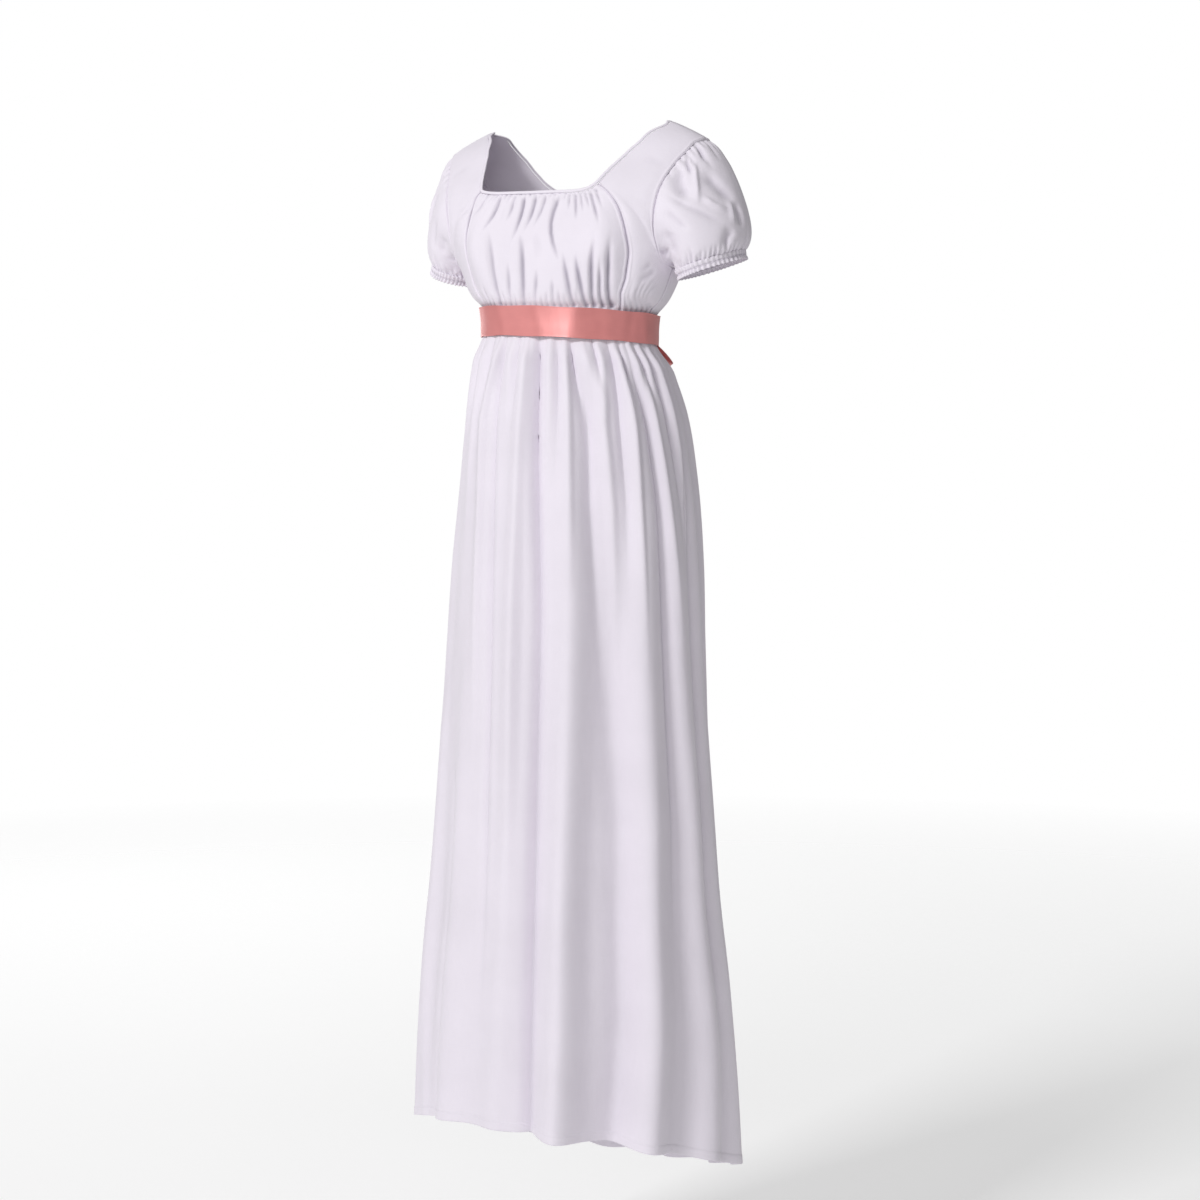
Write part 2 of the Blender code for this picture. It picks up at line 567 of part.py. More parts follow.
def bow():
    """Knot at the centre back with two loops and two hanging tails."""
    back = form(math.pi, waist_z(math.pi))
    top = max(off for _, off in SASH_PROFILE)
    knot_y = back[1] + CLOTH + top + RIBBON + 0.0004 + KNOT[1] / 2
    knot_z = back[2]
    bpy.ops.mesh.primitive_cube_add(size=1.0)
    cube = bpy.context.object
    cube.scale = KNOT
    bpy.ops.object.transform_apply(location=False, rotation=False, scale=True)
    bevel = cube.modifiers.new("rounding", "BEVEL")
    bevel.width, bevel.segments = 0.0068, 3
    mesh = bpy.data.meshes.new_from_object(cube.evaluated_get(bpy.context.evaluated_depsgraph_get()))
    bpy.data.objects.remove(cube, do_unlink=True)
    knot = add("bow_knot", mesh, "ribbon_satin")
    knot.location = (0, knot_y, knot_z)
    for suffix, side in (("left", 1), ("right", -1)):
        count = 22
        turn = np.arange(count) * 2 * math.pi / count
        out = (1 - np.cos(turn)) / 2
        along = LOOP_LENGTH * out
        full = LOOP_FULL * np.sin(turn) * (0.25 + 0.75 * ease(0.0, 0.75, out))
        around = np.stack([along, full], axis=-1)
        normal = np.roll(around, -1, axis=0) - np.roll(around, 1, axis=0)
        normal = unit(np.stack([normal[:, 1], -normal[:, 0]], axis=-1))
        droop = math.radians(LOOP_DROOP)
        rows, outs = [], []
        for share in (-0.5, 0.0, 0.5):
            high = LOOP_HEIGHT * share * (0.55 + 0.45 * ease(0.0, 0.5, out))
            for target, off in ((rows, 0.0), (outs, RIBBON)):
                flat = around + normal * off
                x = 0.0218 + flat[:, 0] * math.cos(droop) + high * math.sin(droop)
                z = high * math.cos(droop) - flat[:, 0] * math.sin(droop)
                y = flat[:, 1] + 0.10 * flat[:, 0] + 0.002
                target.append(np.stack([side * x, y, z], axis=-1))
        mesh = grid_mesh("bow_loop_" + suffix, np.array(rows), np.array(outs), ring=True)
        loop = add("bow_loop_" + suffix, mesh, "ribbon_satin")
        loop.location = (0, knot_y, knot_z)
    levels = np.linspace(0, 1, 13)
    for suffix, (near, far, length, off) in zip(("left", "right"), TAILS):
        rows = []
        for t in levels:
            row = []
            for across in (-0.5, 0.0, 0.5):
                x = near + (far - near) * t + across * TAIL_WIDTH * (0.55 + 0.45 * float(ease(0, 0.45, t)))
                z = knot_z - KNOT[2] / 2 - 0.0003 - length * t - 0.010 * across * t * (1 if near > 0 else -1)
                row.append((x, z))
            rows.append(row)
        flat = np.array(rows)
        wave = 0.0022 * np.sin(2.6 * math.pi * levels + near * 60)[:, None]
        y = np.array([[skirt_back_y(x, z) for x, z in row] for row in rows])
        y = np.maximum(y, y[:, 1:2]) + off + 0.0016 + wave
        hung = 1 - ease(0, TAIL_DROP, levels)[:, None]
        y = y * (1 - hung) + (knot_y - RIBBON / 2) * hung
        inner = np.stack([flat[..., 0], y, flat[..., 1]], axis=-1)
        mesh = grid_mesh("bow_tail_" + suffix, inner, inner + np.array([0, RIBBON, 0]))
        add("bow_tail_" + suffix, mesh, "ribbon_satin")


def skirt_back_y(x, z):
    """Outermost reach of the skirt's back near this place."""
    best = 0.0
    for shift in (-0.012, 0.0, 0.012):
        angle = math.pi - math.asin((x + shift) / 0.15)
        share = (waist_z(angle) - z) / (waist_z(angle) - hem_z(angle))
        point = skirt_point(np.array([angle]), np.array([max(share, 0.0)]))
        best = max(best, float(point[0, 1]))
    return best + CLOTH


def main():
    for obj in list(bpy.data.objects):
        bpy.data.objects.remove(obj, do_unlink=True)
    edges = {suffix: seam_points(suffix) for suffix in SIDES}
    centre_front("bodice_centre_front", edges["left"], edges["right"])
    for suffix in SIDES:
        side_front(suffix, edges[suffix])
        back_panel(suffix, edges[suffix])
        sleeve_and_cuff(suffix, edges[suffix])
    neck_binding("neck_binding", edges["left"], edges["right"])
    for name, first in (("front_right", -90), ("front_left", 0), ("back_left", 90), ("back_right", 180)):
        skirt_panel("skirt_" + name, first, first + 90)
    sash("sash")
    bow()


main()
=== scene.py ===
import math

import bmesh
import bpy
import numpy as np
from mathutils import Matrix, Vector


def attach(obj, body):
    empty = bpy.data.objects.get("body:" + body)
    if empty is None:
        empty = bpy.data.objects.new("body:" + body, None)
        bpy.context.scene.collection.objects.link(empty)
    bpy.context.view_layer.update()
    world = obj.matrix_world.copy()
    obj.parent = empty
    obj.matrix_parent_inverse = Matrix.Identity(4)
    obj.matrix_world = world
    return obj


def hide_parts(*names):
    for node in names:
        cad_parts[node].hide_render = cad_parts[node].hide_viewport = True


bl_info = {
    "name": "Regency Gown",
    "version": (1, 0, 0),
    "blender": (4, 5, 0),
    "location": "View3D > Sidebar > Gown",
    "description": "Sews a high-waisted gown with gathers, folds, puff sleeves and a ribbon sash",
    "category": "Object",
}

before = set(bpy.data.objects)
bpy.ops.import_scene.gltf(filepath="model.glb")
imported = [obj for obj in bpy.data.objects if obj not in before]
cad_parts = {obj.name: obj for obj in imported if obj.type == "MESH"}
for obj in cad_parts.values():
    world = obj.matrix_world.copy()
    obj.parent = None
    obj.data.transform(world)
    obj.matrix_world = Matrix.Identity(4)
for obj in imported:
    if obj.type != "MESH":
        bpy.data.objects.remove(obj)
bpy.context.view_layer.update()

# Form under the bodice, a row per level: z, half width, front depth, back depth, centre y, squareness
FORM = (
    (0.000, 0.1310, 0.004, 0.004, 0.000, 2.00),
    (-0.004, 0.1400, 0.020, 0.020, 0.000, 2.05),
    (-0.012, 0.1580, 0.035, 0.034, 0.000, 2.15),
    (-0.030, 0.1900, 0.056, 0.054, 0.000, 2.25),
    (-0.060, 0.2030, 0.078, 0.073, -0.002, 2.30),
    (-0.095, 0.2000, 0.096, 0.085, -0.006, 2.45),
    (-0.130, 0.1880, 0.094, 0.092, -0.012, 2.60),
    (-0.165, 0.1690, 0.089, 0.095, -0.018, 2.70),
    (-0.195, 0.1520, 0.090, 0.095, -0.023, 2.55),
    (-0.218, 0.1430, 0.092, 0.094, -0.026, 2.30),
    (-0.232, 0.1345, 0.093, 0.093, -0.028, 2.15),
    (-0.243, 0.1235, 0.0935, 0.0915, -0.028, 2.05),
    (-0.249, 0.1190, 0.0912, 0.0905, -0.028, 2.00),
    (-0.300, 0.1185, 0.0910, 0.0905, -0.028, 2.00),
)
WAIST_Z = -0.2675
WAIST_HALF = (0.1185, 0.0910)
WAIST_TILT = (-0.045, -0.050)
ARM_Z = -0.195
NECK_FRONT_Z = -0.0982
NECK_TILT = -0.0020
NECK_BACK_Z = -0.092
BUST = {"z": -0.172, "angle": 27.0, "full": 0.015, "high": 0.045, "wide": 17.0}

SIDES = {"left": 1, "right": -1}
# Princess seams from the waist up to the neckline: x, z
PRINCESS = {
    "left": (
        (0.1010, None), (0.1035, -0.248), (0.1125, -0.228), (0.1210, -0.206), (0.1262, -0.182),
        (0.1262, -0.158), (0.1205, -0.133), (0.1100, -0.112), (0.0965, -0.0975), (0.0830, -0.0885),
    ),
    "right": (
        (0.0920, None), (0.0940, -0.248), (0.0995, -0.228), (0.1065, -0.206), (0.1120, -0.182),
        (0.1145, -0.158), (0.1120, -0.133), (0.1065, -0.112), (0.1010, -0.0990), (0.0950, -0.0915),
    ),
}
STRAP_FRONT = {
    "left": ((0.0878, -0.0810), (0.0945, -0.0705), (0.1050, -0.0570), (0.1180, -0.0395), (0.1290, -0.0195)),
    "right": ((0.0985, -0.0815), (0.1018, -0.0700), (0.1058, -0.0550), (0.1110, -0.0380), (0.1200, -0.0190)),
}
SHOULDER_NECK = {"left": (0.1360, -0.0030), "right": (0.1320, -0.0030)}
STRAP_BACK = (
    (0.0360, -0.0905), (0.0680, -0.0850), (0.0920, -0.0720), (0.1075, -0.0540), (0.1185, -0.0350),
    (0.1260, -0.0185), (0.1310, -0.0075),
)
SHOULDER_TIP_Z = -0.0295
ARMHOLE_FRONT = (
    (0.1514, -0.1900), (0.1524, -0.1760), (0.1528, -0.1550), (0.1548, -0.1320), (0.1585, -0.1090),
    (0.1642, -0.0860), (0.1722, -0.0640), (0.1815, -0.0460), (0.1865, -0.0350),
)
ARMHOLE_BACK = (
    (0.1515, -0.1900), (0.1530, -0.1760), (0.1560, -0.1550), (0.1600, -0.1320), (0.1645, -0.1090),
    (0.1695, -0.0860), (0.1755, -0.0640), (0.1820, -0.0460), (0.1865, -0.0350),
)
SIDE_ROWS = 5

# Skirt, a row per level: drop under the waist seam, half width, half depth, centre y
SKIRT = (
    (0.000, 0.1185, 0.0910, -0.028),
    (0.020, 0.1195, 0.0920, -0.028),
    (0.045, 0.1300, 0.1010, -0.023),
    (0.067, 0.1365, 0.1070, -0.019),
    (0.108, 0.1465, 0.1160, -0.013),
    (0.190, 0.1580, 0.1265, -0.010),
    (0.310, 0.1680, 0.1355, -0.010),
    (0.433, 0.1745, 0.1420, -0.012),
    (0.600, 0.1835, 0.1520, -0.013),
    (0.760, 0.1930, 0.1630, -0.013),
    (0.880, 0.2060, 0.1750, -0.010),
    (1.000, 0.2150, 0.1840, -0.008),
    (1.170, 0.2210, 0.1900, -0.008),
)
HEM_Z = (-1.313, -1.431)

# Hanging folds: height at the hem (below 0 is a hollow), half width in degrees, share of the length where the
# fold starts, then its degrees from the centre front at each of the levels below
FOLDS = (
    (0.012, 10.0, 0.30, -36, -36, -36, -35, -35, -34),
    (0.010, 7.0, 0.10, -4, -4, -4, -3, -3, -5),
    (0.039, 7.0, 0.03, 21, 22, 24, 22.5, 21.5, 20),
    (-0.023, 9.0, 0.03, 32, 33, 38, 46, 46, 42),
    (0.036, 8.6, 0.05, 55, 56, 58, 58.5, 55, 51),
    (0.024, 8.4, 0.06, 70, 71, 80, 85, 86, 82),
    (0.024, 8.0, 0.12, 102, 102, 103, 103, 104, 104),
    (0.030, 9.0, 0.06, 128, 127, 130, 127, 130, 129),
    (0.026, 8.5, 0.10, 154, 153, 152, 155, 156, 155),
    (0.036, 8.5, 0.04, 180, 181, 179, 181, 183, 182),
    (0.026, 8.5, 0.12, 206, 207, 209, 206, 207, 208),
    (0.034, 9.0, 0.05, 234, 233, 236, 237, 234, 235),
    (0.022, 9.0, 0.16, 263, 264, 262, 260, 261, 262),
    (0.026, 9.0, 0.10, 290, 290, 291, 291, 292, 292),
)
# Shares of the way to the hem at which the folds' degrees are given
FOLD_LEVELS = (0.0, 0.12, 0.35, 0.60, 0.85, 1.0)
# How far the hem draws in between the folds
FOLD_HOLLOW = 0.013

# Puff sleeves: centre of the cuff, its half width and half depth, fullness, degrees the cuff rises outwards
SLEEVES = {
    "left": ((0.2020, -0.010, -0.1860), 0.0420, 0.0580, 1.00, 16.0),
    "right": ((0.1870, -0.002, -0.1835), 0.0315, 0.0500, 0.72, 25.0),
}
# Degrees that the cuffs tip forwards
CUFF_TIP = 8.0
# Pull of the puff's curves, a row per degrees from the shoulder tip: out, to the face and up at the armhole,
# then the same at the cuff
PUFF = (
    (0, 0.022, 0.000, -0.0240, 0.028, 0.000, 0.036),
    (45, 0.019, 0.006, -0.0150, 0.022, 0.009, 0.035),
    (90, 0.017, 0.010, -0.0050, 0.008, 0.013, 0.029),
    (135, 0.010, 0.000, 0.0045, 0.003, 0.007, 0.015),
    (180, 0.006, 0.000, 0.0020, 0.000, 0.000, 0.006),
)
# How far the puff leans in over the armhole before it swells
SLEEVE_CLEAR = 0.013
# Gap between the form and the inner side of the cloth
CLOTH_GAP = 0.0007


# --- The form that the gown is cut on ---------------------------------------------------------------


def smooth(table, at, column):
    """A column of a table whose first column rises or falls, as a smooth curve through its rows."""
    rows = np.array(sorted(table), float)
    keys, values = rows[:, 0], rows[:, column]
    steps = np.diff(values) / np.diff(keys)
    slopes = np.concatenate([steps[:1], (steps[:-1] + steps[1:]) / 2, steps[-1:]])
    at = np.clip(at, keys[0], keys[-1])
    i = np.clip(np.searchsorted(keys, at) - 1, 0, len(keys) - 2)
    width = keys[i + 1] - keys[i]
    t = (at - keys[i]) / width
    return (
        (2 * t**3 - 3 * t**2 + 1) * values[i] + (t**3 - 2 * t**2 + t) * width * slopes[i]
        + (3 * t**2 - 2 * t**3) * values[i + 1] + (t**3 - t**2) * width * slopes[i + 1]
    )


def ease(low, high, at):
    """0 below low, 1 above high, and a soft step between."""
    t = np.clip((at - low) / (high - low), 0, 1)
    return t * t * (3 - 2 * t)


def unit(vectors):
    return vectors / np.maximum(np.linalg.norm(vectors, axis=-1, keepdims=True), 1e-12)


def bell(at, width, power=2):
    """1 at zero, dying away on both sides over this width."""
    return np.exp(-(np.abs(at / width) ** power))


def apart_from(degrees, centre):
    """Degrees round from the centre, from -180 to 180."""
    return (degrees - centre + 180) % 360 - 180


def run_of(line):
    """How far each point of a line lies along it."""
    return np.concatenate([[0], np.cumsum(np.linalg.norm(np.diff(line, axis=0), axis=1))])


def beside(ring):
    """Mean of the two neighbours of each point of a closed ring."""
    return (np.roll(ring, 1, axis=0) + np.roll(ring, -1, axis=0)) / 2


def waist_tilt(angle):
    return WAIST_TILT[0] * WAIST_HALF[0] * np.sin(angle) - WAIST_TILT[1] * WAIST_HALF[1] * np.cos(angle)


def waist_z(angle):
    return WAIST_Z + waist_tilt(angle)


def form(angle, z):
    """Point of the form at an angle from the centre front (radians) and a height."""
    s, c = np.sin(angle), np.cos(angle)
    level = z - waist_tilt(angle) * (1 - ease(-0.245, -0.200, z))
    power = 2 / smooth(FORM, level, 5)
    depth = np.where(c > 0, smooth(FORM, level, 2), smooth(FORM, level, 3))
    off = np.degrees(np.abs(angle)) - BUST["angle"]
    depth = depth + BUST["full"] * bell(z - BUST["z"], BUST["high"]) * bell(off, BUST["wide"])
    x = smooth(FORM, level, 1) * np.sign(s) * np.abs(s) ** power
    y = smooth(FORM, level, 4) - depth * np.sign(c) * np.abs(c) ** power
    return np.stack([x, y, z + 0 * x], axis=-1)


def outward(points):
    """Direction away from the core of the form."""
    x, z = points[..., 0], points[..., 2]
    keep = 0.5 + 0.35 * np.clip((z + 0.19) / 0.17, 0, 1)
    core_z = np.where(z > -0.12, -0.12 + (z + 0.12) * 0.25, z)
    core = np.stack([keep * x, smooth(FORM, z, 4), core_z], axis=-1)
    return unit(points - core)


def angle_at(x, z, back=False):
    """Angle on the form where it is x wide at this height."""
    share = np.clip(np.abs(x) / smooth(FORM, z, 1), 0, 1) ** (smooth(FORM, z, 5) / 2)
    found = np.arcsin(share)
    return math.pi - found if back else found


def on_front(x, z):
    """Point of the form's front that is x across and z high."""
    return form(np.sign(x) * angle_at(x, z), z)


def dense(rows, steps):
    """Smooth curve through the rows, with this many steps from one to the next."""
    rows = np.array(rows, float)
    ends = np.concatenate([2 * rows[:1] - rows[1:2], rows, 2 * rows[-1:] - rows[-2:-1]])
    t = (np.arange(steps) / steps)[:, None]
    parts = []
    for a, b, c, d in zip(ends, ends[1:], ends[2:], ends[3:]):
        bend = t**2 * (a - 2.5 * b + 2 * c - d / 2) + t**3 * (1.5 * (b - c) + (d - a) / 2)
        parts.append(b + t * (c - a) / 2 + bend)
    return np.concatenate(parts + [rows[-1:]])


def spaced(points, count):
    """The same line with count points evenly spaced along it."""
    along = run_of(points)
    at = np.linspace(0, along[-1], count)
    return np.stack([np.interp(at, along, points[:, k]) for k in range(points.shape[1])], axis=-1)


def seams(suffix, steps):
    """Edges of half the bodice as dense rows of (angle, z)."""
    side = SIDES[suffix]

    def placed(table, back=False):
        found = []
        for x, z in table:
            angle = float(angle_at(x, WAIST_Z if z is None else z, back))
            found.append((angle, float(waist_z(side * angle)) if z is None else z))
        return found

    neck_x, neck_z = SHOULDER_NECK[suffix]
    neck = (float(angle_at(neck_x, neck_z)), neck_z)
    tip = (math.pi / 2, SHOULDER_TIP_Z)
    bottom = float(waist_z(side * math.pi / 2))
    side_seam = [(math.pi / 2, bottom + (ARM_Z - bottom) * r / SIDE_ROWS) for r in range(SIDE_ROWS + 1)]
    princess = placed(PRINCESS[suffix])
    low = float(waist_z(math.pi))
    rows = len(princess) - 2
    centre_back = [(math.pi, low + (NECK_BACK_Z - low) * r / (rows - 1)) for r in range(rows)]
    return {
        "princess": dense(princess, steps),
        "strap_front": dense(princess[-1:] + placed(STRAP_FRONT[suffix]) + [neck], steps),
        "centre_back": dense(centre_back, steps),
        "strap_back": dense([(math.pi, NECK_BACK_Z)] + placed(STRAP_BACK, True) + [neck], steps),
        "side": dense(side_seam, steps),
        "armhole_front": dense(side_seam[-1:] + placed(ARMHOLE_FRONT) + [tip], steps),
        "armhole_back": dense(side_seam[-1:] + placed(ARMHOLE_BACK, True) + [tip], steps),
    }


def neck_edge(left, right, share):
    """Angles, heights and dip of the front neckline, from share -1 at the right corner to 1 at the left."""
    (right_angle, right_z), (left_angle, left_z) = right["princess"][-1], left["princess"][-1]
    corners = np.interp(share, (-1, 1), (right_z, left_z))
    dip = (NECK_FRONT_Z + NECK_TILT * share - corners) * (1 - share**6)
    return np.interp(share, (-1, 1), (-right_angle, left_angle)), corners + dip, dip


# --- Sheets of cloth --------------------------------------------------------------------------------


def fold_along(points, path, depth, width, lean=0.0, start=0.25, end=0.25, sharp=2.0):
    """Height of one crease over the points: depth above 0 is a ridge, below 0 a valley.

    path is a line of points that the crease follows. It swells over the first share start of its length and
    dies over the last share end. lean makes the side on the left of the path steeper (above 0) or flatter."""
    path = np.asarray(path, float)
    along = run_of(path)
    flat = points.reshape(-1, 3)
    reach = 3.2 * width
    near = np.all((flat > path.min(axis=0) - reach) & (flat < path.max(axis=0) + reach), axis=1)
    spots = flat[near]
    best, place, left = np.full(len(spots), 1e9), np.zeros(len(spots)), np.zeros(len(spots))
    centre = path.mean(axis=0)
    facing = unit(centre - np.array([0, -0.02, centre[2]]))
    for a, b, from_start in zip(path, path[1:], along):
        step = b - a
        length = np.linalg.norm(step)
        t = np.clip(((spots - a) @ step) / length**2, 0, 1)
        off = spots - a - t[:, None] * step
        far = np.linalg.norm(off, axis=1)
        closer = far < best
        best = np.where(closer, far, best)
        place = np.where(closer, from_start + t * length, place)
        left = np.where(closer, np.sign(off @ np.cross(facing, step)), left)
    share = place / along[-1]
    grown = ease(0, max(start, 1e-3), share) * (1 - ease(1 - max(end, 1e-3), 1, share))
    height = np.zeros(len(flat))
    height[near] = depth * grown * bell(best, width * (1 - lean * left), sharp)
    return height.reshape(points.shape[:-1])


def crease_shade(outer, away, ring, reach, depth):
    """How far each point lies down in a crease, which the cloth's colour takes as painted shade: 0 on open
    cloth, 1 at this depth below the cloth round it.

    The cloth round it is the mean over this reach, taken twice along the rows and twice down the columns."""
    soft = outer
    for axis in (1, 0):
        step = np.linalg.norm(np.diff(outer, axis=axis), axis=-1).mean()
        count = int(np.clip(round(reach / step), 1, 40))
        span, size = 2 * count + 1, outer.shape[axis]
        sides, first = np.zeros((3, 2), int), np.zeros((3, 2), int)
        sides[axis], first[axis, 0] = count, 1
        for _ in range(2):
            padded = np.pad(soft, sides, mode="wrap" if ring and axis == 1 else "edge")
            total = np.cumsum(np.pad(padded, first), axis=axis)
            soft = (total.take(np.arange(span, span + size), axis) - total.take(np.arange(size), axis)) / span
    return np.clip(((soft - outer) * away).sum(axis=-1) / depth, 0, 1)


def shell(name, outer, thick, facing, ring=False, crease=(0.0050, 0.0020)):
    """Closed sheet of cloth from the grid of its outer side, rows by columns, with a UV map in metres.

    thick is its thickness, one number or one for each point. facing points the outer side out. A ring joins
    its last column to its first. crease is the reach and depth by which painted shade is laid in its creases."""
    rows, columns = outer.shape[:2]
    count = rows * columns
    away = np.broadcast_to(unit(facing), outer.shape)
    inner = outer - away * np.broadcast_to(np.asarray(thick, float), outer.shape[:2])[..., None]
    grid = np.arange(count).reshape(rows, columns)
    if ring:
        grid = np.concatenate([grid, grid[:, :1]], axis=1)

    def rim(first, second):
        return np.stack([first, second, second + count, first + count], axis=-1)

    a, b, d, e = grid[:-1, :-1], grid[:-1, 1:], grid[1:, :-1], grid[1:, 1:]
    front = np.stack([a, b, e, d], axis=-1).reshape(-1, 4)
    back = np.stack([a, d, e, b], axis=-1).reshape(-1, 4) + count
    groups = [front, back, rim(b[0], a[0]), rim(d[-1], e[-1])]
    if not ring:
        groups += [rim(a[:, 0], d[:, 0]), rim(e[:, -1], b[:, -1])]
    faces = np.concatenate(groups)
    mesh = bpy.data.meshes.new(name)
    mesh.from_pydata(np.concatenate([outer, inner]).reshape(-1, 3).tolist(), [], faces.tolist())
    u, v = (
        np.concatenate([[0], np.cumsum(np.linalg.norm(np.diff(outer, axis=k), axis=-1).mean(axis=1 - k))])
        for k in (1, 0)
    )
    column, row = faces % columns, faces % count // columns
    u_corner = u[column]
    if ring:
        wraps = (column == 0).any(axis=1) & (column == columns - 1).any(axis=1)
        closing = np.linalg.norm(outer[:, 0] - outer[:, -1], axis=-1).mean()
        u_corner = u_corner + (wraps[:, None] & (column == 0)) * (u[-1] + closing)
    flat = np.stack([u_corner, -v[row]], axis=-1)
    mesh.uv_layers.new(name="cloth").data.foreach_set("uv", flat.astype(np.float32).reshape(-1))
    # Painted shade: how deep each outer point lies in a crease, stored for the cloth's colour to darken by
    sunk = crease_shade(outer, away, ring, *crease).reshape(-1)
    painted_shade = mesh.attributes.new("crease", "FLOAT", "POINT")
    painted_shade.data.foreach_set("value", np.concatenate([sunk, 0 * sunk]).astype(np.float32))
    mesh.polygons.foreach_set("use_smooth", np.ones(len(mesh.polygons), bool))
    return closed_piece(name, mesh)


def closed_piece(name, mesh):
    """Object of a closed mesh, with its faces pointing outwards."""
    mesh.validate()
    mesh.update()
    body = bmesh.new()
    body.from_mesh(mesh)
    if body.calc_volume(signed=True) < 0:
        mesh.flip_normals()
    body.free()
    piece = bpy.data.objects.new(name, mesh)
    bpy.context.scene.collection.objects.link(piece)
    return piece


def finish_piece(piece, slot, material, *nodes):
    """Gives a piece its material and its body, and shows it in place of the solids named. slot is not used.
    """
    piece.data.materials.clear()
    piece.data.materials.append(material)
    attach(piece, "root")
    if nodes:
        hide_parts(*nodes)
    return piece


def join_pieces(name, pieces):
    """One object from several, with its origin at zero."""
    bpy.ops.object.select_all(action="DESELECT")
    for piece in pieces:
        piece.select_set(True)
    bpy.context.view_layer.objects.active = pieces[0]
    bpy.ops.object.join()
    pieces[0].name = name
    pieces[0].data.name = name
    return pieces[0]


def stitches(name, line, facing, pitch=0.0030, length=0.0021, wide=0.00042, high=0.00018):
    """Row of sewing stitches along a line of points: each a low four-sided bar lying on the cloth."""
    run = run_of(line)
    points, faces = [], []
    for k in range(int(run[-1] / pitch)):
        start = k * pitch + 0.0004
        ends = [
            [np.array([np.interp(at, run, source[:, i]) for i in range(3)]) for source in (line, facing)]
            for at in (start, start + length)
        ]
        along = unit(ends[1][0] - ends[0][0])
        base = len(points)
        for centre, up in ends:
            side, lift = unit(np.cross(along, up)) * wide / 2, unit(up) * high
            for across, rise in ((-1, -0.6), (-0.55, 1), (0.55, 1), (1, -0.6)):
                points.append(centre + side * across + lift * rise)
        for i in range(4):
            j = (i + 1) % 4
            faces.append((base + i, base + j, base + 4 + j, base + 4 + i))
        faces += [(base + 3, base + 2, base + 1, base), (base + 4, base + 5, base + 6, base + 7)]
    mesh = bpy.data.meshes.new(name)
    mesh.from_pydata([tuple(p) for p in points], [], faces)
    return closed_piece(name, mesh)


# --- Cloth and ribbon -------------------------------------------------------------------------------


class Shader:
    """A material's nodes, added and joined in one line each."""

    def __init__(self, name):
        self.material = bpy.data.materials.new(name)
        self.material.use_nodes = True
        self.tree = self.material.node_tree
        self.surface = self.tree.nodes["Principled BSDF"]
        self.spots = self.tree.nodes.new("ShaderNodeTexCoord").outputs

    def put(self, socket, value):
        """Joins another node's output to a socket, or gives it a constant value."""
        if isinstance(value, bpy.types.NodeSocket):
            self.tree.links.new(value, socket)
        else:
            socket.default_value = value

    def add(self, kind, *first, **values):
        """New node with values for its settings and named sockets, and for its first sockets in order."""
        node = self.tree.nodes.new(kind)
        for key, value in values.items():
            if hasattr(node, key):
                setattr(node, key, value)
            else:
                self.put(node.inputs[key.replace("_", " ")], value)
        for socket, value in zip(node.inputs, first):
            self.put(socket, value)
        return node

    def mix(self, factor, first, second, blend="MIX"):
        node = self.add("ShaderNodeMix", factor, data_type="RGBA", blend_type=blend)
        self.put(node.inputs[6], first)
        self.put(node.inputs[7], second)
        return node.outputs[2]

    def math(self, operation, first, second):
        return self.add("ShaderNodeMath", first, second, operation=operation).outputs[0]

    def ramp(self, factor, low, high):
        node = self.add("ShaderNodeValToRGB", factor)
        node.color_ramp.elements[0].position, node.color_ramp.elements[1].position = low, high
        return node.outputs[0]

    def ranged(self, value, low, high):
        return self.add("ShaderNodeMapRange", Value=value, To_Min=low, To_Max=high).outputs["Result"]

    def stretched(self, source, *scale):
        return self.add("ShaderNodeMapping", Vector=source, Scale=scale).outputs[0]

    def noise(self, vector, scale, detail=2.0, rough=0.5):
        node = self.add("ShaderNodeTexNoise", Vector=vector, Scale=scale, Detail=detail, Roughness=rough)
        return node.outputs[0]

    def bands(self, vector, scale, across):
        """Bands of threads: a wave texture across the X or the Y of the vector."""
        node = self.add("ShaderNodeTexWave", Vector=vector, Scale=scale, bands_direction=across)
        return node.outputs["Fac"]

    def bump(self, height, depth, strength, under=None):
        """Surface direction with this relief, laid over another relief if one is given."""
        node = self.add("ShaderNodeBump", Height=height, Distance=depth, Strength=strength)
        if under is not None:
            self.put(node.inputs["Normal"], under)
        return node.outputs["Normal"]

    def finish(self, **values):
        """Fills the surface's sockets and gives the material."""
        for key, value in values.items():
            self.put(self.surface.inputs[key.replace("_", " ")], value)
        return self.material


def tint(colour, *shares):
    """The colour times one share, or times a share each of red, green and blue, with full cover."""
    return tuple((np.array(colour) * (shares or 1.0)).tolist()) + (1.0,)


# A wave texture at scale 1 repeats every 0.31416 units
BANDS_PER_UNIT = 0.31416


def plain_weave(shader, uv, threads):
    """Height of over-and-under threads, this many to the metre."""
    warp, weft = (shader.bands(uv, threads * BANDS_PER_UNIT, across) for across in "XY")
    return shader.math("MULTIPLY", warp, weft)


